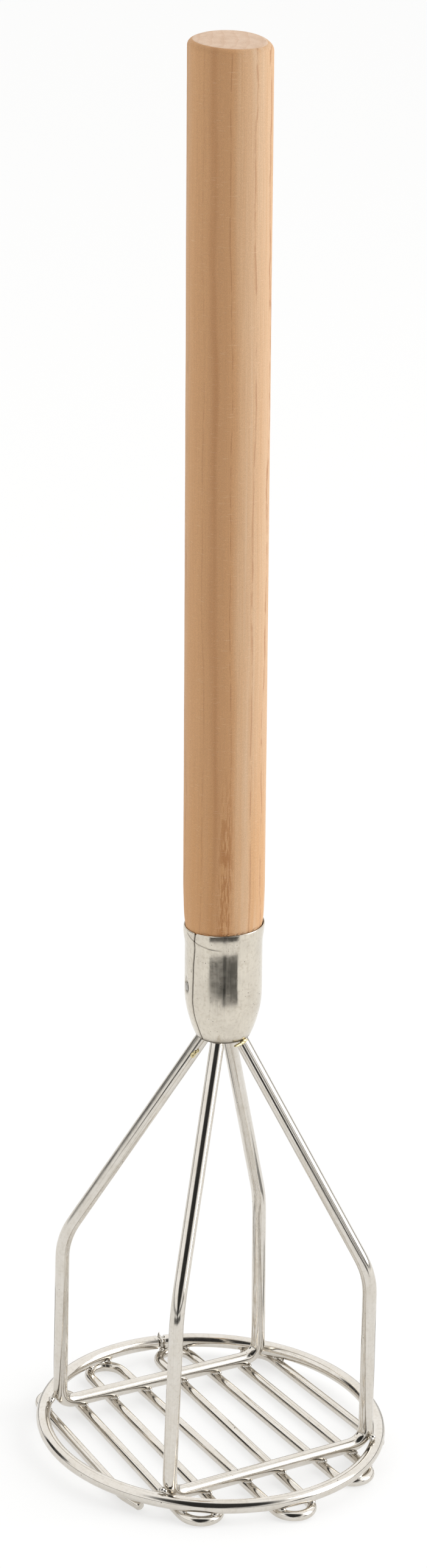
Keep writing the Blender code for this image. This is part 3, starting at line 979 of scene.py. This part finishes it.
def make_handle():
    """The dowel: hand-sanded, with a level sawn end, an uneven rounded edge and a torn lower edge."""
    wood = bpy.context.scene.masher_handle
    radius, edge = wood.radius / MM, wood.edge / MM
    azimuths = np.arange(0.0, 360.0, 2.25)
    matrix = axis_matrix()
    corner = [(cos(radians(turn)), sin(radians(turn))) for turn in range(0, 91, 9)]
    rows = [
        (9.3, TENON_END_S), (10.8, TENON_END_S + 1.5), (10.8, 172.4), (11.75, 172.9), (11.8, 174.0),
        (11.85, 175.2), (12.0, 176.3), (12.15, 177.6), (12.28, 180.0), (12.4, 184.0),
    ]
    rows += [(radius, height) for height in np.linspace(188.0, TOP_S - 4.5, 118)]
    side = len(rows)
    rows += [(radius, TOP_S)] * len(corner)
    face = [radius * share for share in (0.80, 0.72, 0.6, 0.48, 0.36, 0.24, 0.12, 0.05)]
    rows += [(part, TOP_S) for part in face]
    radii, heights = spread_rows(rows, azimuths)
    softness = edge * (1.0 + 0.45 * np.cos(np.radians(azimuths - LEFT_AZIMUTH)) ** 2)
    softness *= 1.0 + 0.18 * np.cos(np.radians(3.0 * azimuths + 40.0))
    for step, (level, rise) in enumerate(corner):
        radii[side + step] = radius - softness * (1.0 - level)
        heights[side + step] = TOP_S - softness * (1.0 - rise)
    for row, column, place in each_vertex(azimuths, radii, heights):
        if row < side + len(corner):
            drawn_out = (place[0], place[1], place[2] * 0.16)
            radii[row, column] += 0.05 * ripple(drawn_out, 5.0) + 0.015 * ripple(place, 2.2, 3.0)
        else:
            heights[row, column] += 0.10 * ripple(place, 4.5, 5.0) + 0.03 * ripple(place, 1.3, 9.0)
    torn = (heights > 174.5) & (heights < 178.0)
    wave = np.array([ripple((azimuth / 3.0, 0.0, 0.0), 1.0, 2.0) for azimuth in azimuths])
    radii[torn] -= (0.10 * np.abs(wave)[None, :] * np.ones_like(radii))[torn]
    up = matrix.to_3x3().inverted() @ UP
    turn = np.radians(azimuths)
    across = radii * np.cos(turn) * up.x + radii * np.sin(turn) * up.y
    heights = np.where(heights > 300.0, heights - across / up.z, heights)
    points, faces = lathe(azimuths, radii, heights)
    first_end = (side + len(corner) - 3) * len(azimuths)
    add_splinters(points, faces)
    finishes = fresh("beech_side", wood_finish), fresh("beech_end", end_grain_finish)
    item = shaped("handle", points, faces, matrix, finishes)
    level = matrix.to_3x3() @ Vector((0.0, 0.0, TOP_S - 0.6 * edge))
    top = CENTRE.z + axis_point(0.0).z * MM + level.z
    for face in item.data.polygons:
        if min(face.vertices) >= first_end and face.center.z > top and face.normal.z > 0.8:
            face.material_index = 1
    return settle(item, ["handle"])


def add_splinters(points, faces):
    """Small slivers of torn wood that lie on the ferrule's lip."""
    chance = np.random.RandomState(11)
    for azimuth in SPLINTER_AZIMUTHS:
        half, depth = chance.uniform(0.35, 1.25), chance.uniform(0.16, 0.32)
        turn = chance.uniform(-10.0, 10.0)
        middle = unit(azimuth) * chance.uniform(12.1, 12.3)
        middle.z = RIM_S + 0.15 + rim_lift(azimuth, WALL_R) + chance.uniform(0.0, 0.25)
        along = unit(azimuth + 90.0 + turn) * half
        rise = UP * depth
        out = unit(azimuth) * depth * 0.8
        ring = [middle + out, middle + rise, middle - out, middle - rise * 0.6]
        base = len(points)
        points += [tuple(middle - along)] + [tuple(corner) for corner in ring] + [tuple(middle + along)]
        for step in range(4):
            after = (step + 1) % 4
            faces.append((base, base + 1 + step, base + 1 + after))
            faces.append((base + 5, base + 1 + after, base + 1 + step))


def rim_lift(azimuths, radii):
    """How far the rim stands over its mean height: cut with a tilt and raised at the front."""
    turn = np.radians(azimuths - LEFT_AZIMUTH)
    forward = np.clip(np.cos(turn - np.pi / 2.0), 0.0, 1.0) ** 1.5
    return radii * RIM_TILT * np.cos(turn + np.pi) + RIM_RISE * forward


def make_ferrule():
    """The drawn cup: a butted seam, a creased lip, a dimple round the nail and soft dents."""
    cup = bpy.context.scene.masher_ferrule
    sheet = cup.sheet / MM
    azimuths = np.concatenate([
        np.arange(156.0, 184.0, 0.6), np.arange(184.0, 199.0, 0.25), np.arange(199.0, 246.0, 0.7),
        np.arange(246.0, 516.0, 1.5),
    ])
    outline = np.array(FERRULE_OUTLINE)
    for _ in range(3):
        ends = outline[0], outline[-1]
        before, after = outline[:-1], outline[1:]
        pairs = np.stack([before * 0.75 + after * 0.25, before * 0.25 + after * 0.75], 1)
        outline = np.concatenate([[ends[0]], pairs.reshape(-1, 2), [ends[1]]])
    wall = np.concatenate([np.linspace(138.3, 170.2, 56), np.linspace(170.4, 175.15, 36)])
    radii_out = np.interp(wall, outline[:, 1], outline[:, 0])
    rim = radii_out[-1]
    lip = [
        (rim - 0.03, RIM_S - 0.12), (rim - 0.12, RIM_S - 0.02), (rim - 0.22, RIM_S),
        (rim - 0.33, RIM_S - 0.03), (rim - 0.42, RIM_S - 0.12),
    ]
    inner_s = np.linspace(175.1, 138.4, 22)
    inner = list(zip(np.interp(inner_s, outline[:, 1], outline[:, 0]) - sheet, inner_s))
    mouth = [(8.0, 138.1), (8.15, MOUTH_S), (8.3, MOUTH_S), (8.42, 138.12)]
    rows = list(zip(radii_out, wall)) + lip + inner + mouth
    radii, heights = spread_rows(rows, azimuths)
    outside = np.zeros_like(radii)
    outside[: len(wall) + 3] = 1.0
    outside[-3:] = 1.0
    wrapped = np.where(azimuths > 360.0, azimuths - 360.0, azimuths)
    spread = np.radians(wrapped[None, :] - np.interp(heights, SEAM_S, SEAM_AZIMUTHS)) * radii
    wiggle = np.array([0.10 * ripple((0.0, 0.0, height), 3.0, 1.0) for height in heights[:, 0]])[:, None]
    from_seam = spread + wiggle
    radii -= outside * cup.seam_depth / MM * bell(from_seam, 0.24)
    radii += outside * 0.05 * (bell(from_seam + 0.9, 0.8) + bell(from_seam - 0.55, 0.3))
    crease = np.interp(wrapped, (175.0, 184.0, 200.0, 217.0, 238.0), (174.6, 173.5, 172.0, 171.2, 170.8))
    fade = np.interp(wrapped, (173.0, 178.0, 212.0, 230.0, 240.0), (0.0, 1.0, 0.8, 0.35, 0.0))
    away = heights - crease[None, :]
    radii -= outside * fade * (0.07 * bell(away, 0.16) - 0.03 * bell(away + 0.45, 0.3))
    side = np.radians(wrapped[None, :] - NAIL_AZIMUTH) * WALL_R
    up = heights - NAIL_S
    narrow = 1.35 - 0.18 * np.clip(up, -2.0, 3.0)
    drop = np.exp(-((side / narrow) ** 2) - ((up - 0.6) / 2.1) ** 2)
    radii -= outside * cup.dimple_depth / MM * 1.5 * np.clip(drop, 0.0, 0.75)
    heights -= np.where(heights > 174.6, 0.45 * bell(wrapped - 195.0, 1.6), 0.0)
    for row, column, place in each_vertex(azimuths, radii, heights):
        radii[row, column] += 0.035 * ripple(place, 7.0, 4.0) + 0.008 * ripple(place, 2.0, 8.0)
    flare = np.clip((heights - 171.0) / 4.4, 0.0, 1.0) ** 2
    radii += 0.16 * flare * np.cos(np.radians(azimuths - LEFT_AZIMUTH + 180.0))[None, :]
    heights += np.clip((heights - 165.0) / 10.4, 0.0, 1.0) * rim_lift(azimuths, radii)
    points, faces = lathe(azimuths, radii, heights, closed=True)
    finish = fresh("ferrule_nickel", ferrule_finish)
    item = shaped("ferrule", points, faces, axis_matrix(), [finish], sharp=50.0)
    streaks = sum(
        share * bell(wrapped - azimuth, width)
        for azimuth, share, width in ((209.0, 0.5, 1.8), (214.5, 0.3, 1.2), (290.0, 0.35, 10.0))
    )
    stain_ferrule(item.data, outside, heights, {
        "seam": bell(from_seam, 0.25),
        "crease": 0.75 * fade * bell(away, 0.2),
        "mouth": 0.8 * bell(heights - 138.3, 0.45) + 0.12 * np.clip((141.0 - heights) / 2.0, 0.0, 1.0),
        "nail": 0.9 * bell(np.hypot(side, up) - 1.45, 0.22),
        "dimple": 0.45 * bell(drop - 0.22, 0.09),
        "streaks": np.interp(heights, (148.0, 152.0, 168.0, 172.0), (0.0, 1.0, 1.0, 0.0)) * streaks,
    })
    return settle(item, ["ferrule"])


def stain_ferrule(mesh, outside, heights, marks):
    """Grime in the seam, the crease and round the nail, painted shade over the inside of the cup, and a
    brown soldering stain at the mouth.
    """
    grime = sum(marks[label] for label in ("seam", "crease", "nail", "dimple", "mouth")) * outside
    # painted shade: every inner row, inside the lip and down the inner wall, is darkened to near black
    grime += 0.8 * (1.0 - outside)
    heat = 0.7 * np.clip((144.0 - heights) / 5.5, 0.0, 1.0) + 0.3 * marks["seam"] + marks["streaks"]
    store(mesh, "grime", np.clip(grime, 0.0, 1.0))
    store(mesh, "heat", np.clip(heat, 0.0, 1.0))


def make_nail():
    """The ferrule's nail, with a low domed head."""
    cup = bpy.context.scene.masher_ferrule
    head = cup.nail_radius / MM
    turns = [radians(turn) for turn in range(90, 0, -10)]
    dome = [(head * sin(turn), NAIL_REACH - 0.45 * (1.0 - cos(turn))) for turn in turns]
    rows = [
        (0.2, 4.7), (0.8, 6.2), (0.8, NAIL_REACH - 0.75), (head - 0.1, NAIL_REACH - 0.75),
        (head, NAIL_REACH - 0.6),
    ]
    azimuths = np.arange(0.0, 360.0, 7.5)
    radii, heights = spread_rows(rows + dome, azimuths)
    points, faces = lathe(azimuths, radii, heights)
    out = unit(NAIL_AZIMUTH)
    turn = out.to_track_quat("Z", "Y").to_matrix().to_4x4()
    matrix = axis_matrix() @ Matrix.Translation((0.0, 0.0, NAIL_S)) @ turn
    item = shaped("ferrule_nail", points, faces, matrix, [fresh("nail_steel", nail_finish)])
    return settle(item, ["ferrule_nail"])


def make_wire(name, points, radius):
    settle(swept_wire(name, points, radius), [name])


def make_frames():
    """Two bent wires, each with two legs and a crossbar."""
    wire = bpy.context.scene.masher_wire
    make_wire("rear_frame", frame_path(REAR_CORNERS, REAR_BENDS), wire.heavy)
    make_wire("front_frame", frame_path(FRONT_CORNERS, FRONT_BENDS), wire.heavy)


def make_ring():
    """One wire bent round, with its ends a little apart in the butt weld."""
    make_wire("ring", ring_path(), bpy.context.scene.masher_wire.heavy)


def make_grid():
    """One thinner wire that runs to and fro under the ring."""
    make_wire("grid_wire", grid_path(), bpy.context.scene.masher_wire.thin)


def make_spot_welds():
    """At each crossing a low pad of squeezed-out metal, and at each bead of the frame a bright pimple."""
    chance = np.random.RandomState(5)
    finish = fresh("weld_metal", weld_finish)
    for label, name in (
        ("rear", "rear_crossbar_spot_weld"), ("front", "front_crossbar_spot_weld"),
        ("ring", "ring_spot_weld"),
    ):
        pads = [
            (place, (1.7, 1.3, 0.85), (0.0, 0.0, atan2(way.y, way.x)))
            for place, way, wire in crossings() if wire == label
        ]
        nodes = sorted(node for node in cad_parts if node.startswith(name))
        pimples = []
        for node in nodes:
            low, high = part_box(node)
            size = (high.z - low.z) / 2.0 / MM * chance.uniform(0.6, 0.85)
            bead = middle_of(node)
            pad = min((pad[0] for pad in pads), key=lambda spot: (spot - bead).length)
            place = bead.lerp(pad, 0.35)
            turn = (0.0, chance.uniform(-0.4, 0.4), chance.uniform(0.0, 3.1))
            pimples.append((place, (size * 1.25, size, size * 0.9), turn))
        item = lump_piece(
            name + "s", pads + pimples, finish, lump=0.12, lump_size=0.9, grain=0.16, passes=3
        )
        stain(item.data, [pad[0] for pad in pads], 3.0)
        settle(item, nodes)


def make_leg_welds():
    """Rough fillets where each leg's lower bend lies against the ring."""
    finish = fresh("weld_metal", weld_finish)
    for name in ("rear_left", "rear_right", "front_left", "front_right"):
        node = "leg_weld_" + name
        place = middle_of(node)
        inward = -place.xy.normalized()
        turn = atan2(inward.y, inward.x)
        lumps = [(place, (1.1, 0.95, 0.95), (0.0, 0.0, turn))]
        for step, size in ((-0.9, 0.75), (0.9, 0.65)):
            beside = place + Vector((-inward.y * step, inward.x * step, -0.35))
            lumps.append((beside, (size, size * 1.1, size), (0.3, 0.2, turn)))
        item = lump_piece(node, lumps, finish, lump=0.1, lump_size=0.9, passes=8)
        stain(item.data, [place - UP * 2.2], 3.4)
        settle(item, [node])


def make_butt_weld():
    """The ring's joint: a lumpy collar with a torn spike of flash."""
    finish = fresh("weld_metal", weld_finish)
    wire = bpy.context.scene.masher_wire.heavy / MM
    middle = ring_radius() * unit(RING_JOINT_ANGLE)
    along = unit(RING_JOINT_ANGLE + 90.0)
    turn = radians(RING_JOINT_ANGLE + 90.0)
    lumps = [(middle, (0.8, wire + 0.08, wire + 0.08), (0.0, 0.0, turn))]
    for step, side, rise, size in (
        (1.2, -1.1, 1.75, 0.5), (2.3, -0.9, 1.85, 0.4), (-0.9, -1.2, 1.7, 0.42), (0.3, 0.8, 1.95, 0.4),
        (-1.4, 0.4, -2.05, 0.45), (0.9, 0.5, -2.05, 0.5),
    ):
        place = middle + along * step + unit(RING_JOINT_ANGLE) * side + UP * rise
        lumps.append((place, (size * 1.5, size, size * 0.75), (0.0, 0.0, turn + side)))
    spike = middle + along * 0.7 + Vector((0.0, 0.0, wire + 0.15))
    lumps.append((spike, (0.42, 0.42, 1.35), (0.3, -0.25, turn)))
    item = lump_piece("ring_butt_weld", lumps, finish, lump=0.18, lump_size=0.8, passes=3)
    stain(item.data, [spike, middle], 2.6, [spike + UP * 0.5])
    settle(item, ["ring_butt_weld"])


def make_mouth_braze():
    """Brazing metal that fills the mouth and creeps down the four wires."""
    azimuths = np.arange(0.0, 360.0, 3.75)
    rows = [(part, BRAZE_S) for part in np.linspace(0.3, 7.5, BRAZE_ROWS)]
    rows += [(7.72, BRAZE_S + 0.2), (7.78, 139.5), (7.85, 141.0), (4.0, 141.2)]
    radii, heights = spread_rows(rows, azimuths)
    legs = []
    for corners, bends in ((REAR_CORNERS, REAR_BENDS), (FRONT_CORNERS, FRONT_BENDS)):
        for corner, bend in zip(corners, bends):
            knee = bundle_point(KNEE_S, corner)
            down = (Vector(bend) - knee).normalized()
            foot = knee + down * ((knee.z - MOUTH_S) / -down.z)
            legs.append(Vector((foot - axis_point(MOUTH_S)).xy))
    for row in range(BRAZE_ROWS):
        for column, azimuth in enumerate(azimuths):
            spot = unit(azimuth).xy * radii[row, column]
            gap = min((spot - leg).length for leg in legs)
            heights[row, column] -= 0.8 * exp(-max(gap - 2.3, 0.0) / 0.7)
            heights[row, column] += 0.12 * ripple((*spot, 0.0), 1.6, 2.0)
    points, faces = lathe(azimuths, radii, heights)
    item = shaped("mouth_braze", points, faces, axis_matrix(), [fresh("braze", braze_finish)])
    settle(item, ["mouth_braze"])


def make_braze_drops():
    """A drop that hangs at the ferrule's lip, and a dribble on the rear left leg."""
    finish = fresh("braze", braze_finish)
    middle = middle_of("braze_drop")
    reach = (middle - axis_point(MOUTH_S)).xy
    around = Vector((-reach.y, reach.x, 0.0)).normalized()
    turn = atan2(around.y, around.x)
    lumps = []
    for step, rise, size in ((-2.4, 0.3, 0.32), (-1.2, 0.35, 0.45), (0.0, 0.6, 0.6), (0.9, 1.05, 0.6)):
        place = middle + around * step + UP * rise
        lumps.append((place, (1.3, 0.6, size), (0.0, 0.0, turn)))
    item = lump_piece("braze_drop", lumps, finish, lump=0.06, lump_size=2.4, grain=0.1, passes=24)
    settle(item, ["braze_drop"])
    middle = middle_of("braze_dribble")
    knee, bend = bundle_point(KNEE_S, REAR_CORNERS[0]), Vector(REAR_BENDS[0])
    down = (bend - knee).normalized()
    onto = (knee + down * (middle - knee).dot(down) - middle).normalized() * 0.6
    lumps = []
    for step, slip, size in ((-0.9, 0.2, 0.45), (0.0, 0.7, 0.65), (0.9, 0.9, 0.75)):
        place = middle + onto + down * step + unit(LEFT_AZIMUTH) * slip
        lumps.append((place, (size, size, size * 1.3), (0.0, 0.4, 0.0)))
    item = lump_piece("braze_dribble", lumps, finish, lump=0.06, lump_size=2.4, grain=0.1, passes=24)
    settle(item, ["braze_dribble"])


# ---- stage


def aim_camera(stage):
    """The camera stands in front and above, rolled a little."""
    heading = degrees(stage.camera_heading)
    aside, away = unit(heading - 90.0), unit(heading)
    pan, pitch, roll = stage.camera_pan, stage.camera_pitch, stage.camera_roll
    look = cos(pitch) * (sin(pan) * aside + cos(pan) * away) - sin(pitch) * UP
    right = cos(pan) * aside - sin(pan) * away
    over = right.cross(look)
    right, over = (
        cos(roll) * right + sin(roll) * over,
        cos(roll) * over - sin(roll) * right,
    )
    data = bpy.data.cameras.new("camera")
    data.sensor_width = 36.0
    data.lens = stage.lens
    data.clip_start, data.clip_end = 0.05, 100.0
    camera = link("camera", data)
    turn = Matrix((right, over, -look)).transposed().to_4x4()
    place = CENTRE - away * stage.camera_back + UP * stage.camera_rise
    camera.matrix_world = Matrix.Translation(place) @ turn
    bpy.context.scene.camera = camera


def plain(name, colour):
    """A light table's top, lit from below.  It is seen from above only, so that the underside of the
    object can be looked at."""
    material, tree, surface = shader_of(name, 0.0, specular=0.0)
    surface["Base Color"].default_value = (*(part * 0.35 for part in colour), 1.0)
    surface["Roughness"].default_value = 0.9
    surface["Emission Color"].default_value = (*colour, 1.0)
    surface["Emission Strength"].default_value = 0.68
    back = add(tree, "ShaderNodeNewGeometry").outputs["Backfacing"]
    clear = add(tree, "ShaderNodeBsdfTransparent").outputs[0]
    shader = tree.nodes["Principled BSDF"].outputs[0]
    mixed = add(tree, "ShaderNodeMixShader", {0: back, 1: shader, 2: clear}).outputs[0]
    tree.links.new(mixed, tree.nodes["Material Output"].inputs["Surface"])
    return material


def glow(name, value):
    """An even glow for a card."""
    material = bpy.data.materials.new(name)
    material.use_nodes = True
    tree = material.node_tree
    tree.nodes.clear()
    colour = (value, value, value * 0.97, 1.0)
    shine = add(tree, "ShaderNodeEmission", {"Color": colour, "Strength": 1.0})
    end = add(tree, "ShaderNodeOutputMaterial")
    tree.links.new(shine.outputs[0], end.inputs["Surface"])
    return material


def add_card(name, corners, value):
    """A card out of view, which only the polished metal sees."""
    mesh = bpy.data.meshes.new(name)
    mesh.from_pydata([tuple(corner) for corner in corners], [], [tuple(range(len(corners)))])
    mesh.materials.append(glow(name, value))
    card = link(name, mesh)
    card.visible_camera = False
    card.visible_diffuse = False
    card.visible_shadow = False


def floor_sector(heading, spread, near, far, height):
    """Outline of a piece of floor round the object, from its azimuth and distances."""
    turns = [heading + spread * (2.0 * step / 12 - 1.0) for step in range(13)]
    outline = [unit(turn) * far for turn in turns] + [unit(turn) * near for turn in reversed(turns)]
    return [point + UP * height for point in outline]


def upright(heading, foot, head, distance, low, high):
    """Outline of an upright card that faces the object, as wide as two angles at its foot and its head."""
    return [unit(heading + turn) * distance + UP * level for turn, level in (
        (-foot, low), (foot, low), (head, high), (-head, high),
    )]


def add_floor(colour):
    reach = FLOOR_REACH
    mesh = bpy.data.meshes.new("floor")
    corners = [(-reach, -reach, 0.0), (reach, -reach, 0.0), (reach, reach, 0.0), (-reach, reach, 0.0)]
    mesh.from_pydata(corners, [], [(0, 1, 2, 3)])
    mesh.materials.append(plain("floor_paint", colour))
    link("floor", mesh)


def light_tent(front, sky):
    """White light from all round, dimmed at the horizon and in three round gaps."""
    world = bpy.data.worlds.new("tent")
    bpy.context.scene.world = world
    world.use_nodes = True
    tree = world.node_tree
    tree.nodes.clear()
    way = add(tree, "ShaderNodeTexCoord").outputs["Generated"]
    height = add(tree, "ShaderNodeSeparateXYZ", {0: way}).outputs[2]
    dim = times(tree, curve_of(tree, sums(tree, "ABSOLUTE", height), 0.13, 0.05), 0.85)
    for heading, lift, edge, core in (
        (front, 42.0, 44.0, 26.0), (125.0, 13.0, 17.0, 11.0), (300.0, 4.0, 10.0, 5.0),
    ):
        lift, edge, core = (radians(turn) for turn in (lift, edge, core))
        middle = unit(heading) * cos(lift) + UP * sin(lift)
        inputs = {0: way, 1: middle}
        closeness = add(tree, "ShaderNodeVectorMath", inputs, operation="DOT_PRODUCT").outputs["Value"]
        gap = curve_of(tree, closeness, cos(edge), cos(core))
        dim = sums(tree, "MAXIMUM", dim, times(tree, gap, 0.97))
    seen = add(tree, "ShaderNodeLightPath").outputs["Is Camera Ray"]
    light = sums(tree, "MAXIMUM", sums(tree, "SUBTRACT", 1.0, dim), seen)
    inputs = {"Color": (1.0, 1.0, 1.0, 1.0), "Strength": times(tree, light, sky)}
    shine = add(tree, "ShaderNodeBackground", inputs)
    tree.links.new(shine.outputs[0], add(tree, "ShaderNodeOutputWorld").inputs["Surface"])


def make_stage():
    """Pale floor, a light tent with dark gaps, cards that the metal mirrors, a softbox and the camera."""
    stage = bpy.context.scene.masher_stage
    aim_camera(stage)
    add_floor(stage.floor_colour)
    front = degrees(stage.camera_heading) + 188.0
    for name, outline, value in (
        ("front_gap", floor_sector(front - 6.0, 42.0, 0.32, 0.9, 0.004), 0.09),
        ("front_line", floor_sector(front - 3.0, 4.5, 0.29, 6.0, 0.005), 0.002),
        ("front_column", upright(front - 6.0, 6.0, 35.0, 1.6, 0.0, 1.0), 0.03),
        ("floor_end", floor_sector(front, 180.0, 2.0, 6.0, 0.003), 0.75),
        ("left_line", floor_sector(114.0, 8.0, 0.07, 0.13, 0.001), 0.3),
        ("right_line", floor_sector(2.0, 7.0, 0.07, 0.13, 0.001), 0.3),
    ):
        add_card(name, outline, value)
    light_tent(front, stage.sky)
    lamp = bpy.data.lights.new("softbox", "AREA")
    lamp.shape = "RECTANGLE"
    lamp.size, lamp.size_y, lamp.energy = 1.0, 1.4, stage.key
    box = link("softbox", lamp)
    place = unit(front + 78.0) * 1.5 + UP * 0.85
    aim = (UP * 0.25 - place).to_track_quat("-Z", "Y").to_matrix().to_4x4()
    box.matrix_world = Matrix.Translation(place) @ aim
    bpy.context.scene.view_settings.view_transform = "Standard"


# ---- operators


class MASHER_OT_handle(bpy.types.Operator):
    """Turn the wooden handle"""

    bl_idname = "masher.handle"
    bl_label = "Handle"

    def execute(self, context):
        make_handle()
        return {"FINISHED"}


class MASHER_OT_ferrule(bpy.types.Operator):
    """Draw the sheet-metal ferrule and drive its nail"""

    bl_idname = "masher.ferrule"
    bl_label = "Ferrule and Nail"

    def execute(self, context):
        make_ferrule()
        make_nail()
        return {"FINISHED"}


class MASHER_OT_frames(bpy.types.Operator):
    """Bend the rear and front wire frames"""

    bl_idname = "masher.frames"
    bl_label = "Wire Frames"

    def execute(self, context):
        make_frames()
        return {"FINISHED"}


class MASHER_OT_ring(bpy.types.Operator):
    """Bend the ring and weld its joint"""

    bl_idname = "masher.ring"
    bl_label = "Ring"

    def execute(self, context):
        make_ring()
        make_butt_weld()
        return {"FINISHED"}


class MASHER_OT_grid(bpy.types.Operator):
    """Bend the serpentine grid wire"""

    bl_idname = "masher.grid"
    bl_label = "Grid Wire"

    def execute(self, context):
        make_grid()
        return {"FINISHED"}


class MASHER_OT_welds(bpy.types.Operator):
    """Weld the legs, the crossbars and the ring"""

    bl_idname = "masher.welds"
    bl_label = "Welds"

    def execute(self, context):
        make_spot_welds()
        make_leg_welds()
        return {"FINISHED"}


class MASHER_OT_braze(bpy.types.Operator):
    """Braze the wires into the ferrule's mouth"""

    bl_idname = "masher.braze"
    bl_label = "Brazing"

    def execute(self, context):
        make_mouth_braze()
        make_braze_drops()
        return {"FINISHED"}


class MASHER_OT_stage(bpy.types.Operator):
    """Set up the floor, the light and the camera"""

    bl_idname = "masher.stage"
    bl_label = "Stage"

    def execute(self, context):
        make_stage()
        return {"FINISHED"}


class MASHER_PT_panel(bpy.types.Panel):
    """Lists the masher's pieces"""

    bl_label = "Kitchen Masher"
    bl_idname = "MASHER_PT_panel"
    bl_space_type = "VIEW_3D"
    bl_region_type = "UI"
    bl_category = "Masher"

    def draw(self, context):
        for operator in OPERATORS:
            self.layout.operator(operator.bl_idname)


SETTINGS = {
    "masher_handle": MasherHandle,
    "masher_ferrule": MasherFerrule,
    "masher_wire": MasherWire,
    "masher_stage": MasherStage,
}
OPERATORS = (
    MASHER_OT_stage, MASHER_OT_handle, MASHER_OT_ferrule, MASHER_OT_frames, MASHER_OT_ring,
    MASHER_OT_grid, MASHER_OT_welds, MASHER_OT_braze,
)


def register():
    for kind in (*SETTINGS.values(), *OPERATORS, MASHER_PT_panel):
        bpy.utils.register_class(kind)
    for label, kind in SETTINGS.items():
        setattr(bpy.types.Scene, label, PointerProperty(type=kind))


def unregister():
    for label in SETTINGS:
        delattr(bpy.types.Scene, label)
    for kind in (MASHER_PT_panel, *reversed(OPERATORS), *SETTINGS.values()):
        bpy.utils.unregister_class(kind)


def main():
    register()
    for operator in OPERATORS:
        group, name = operator.bl_idname.split(".")
        getattr(getattr(bpy.ops, group), name)()


if __name__ == "__main__":
    main()
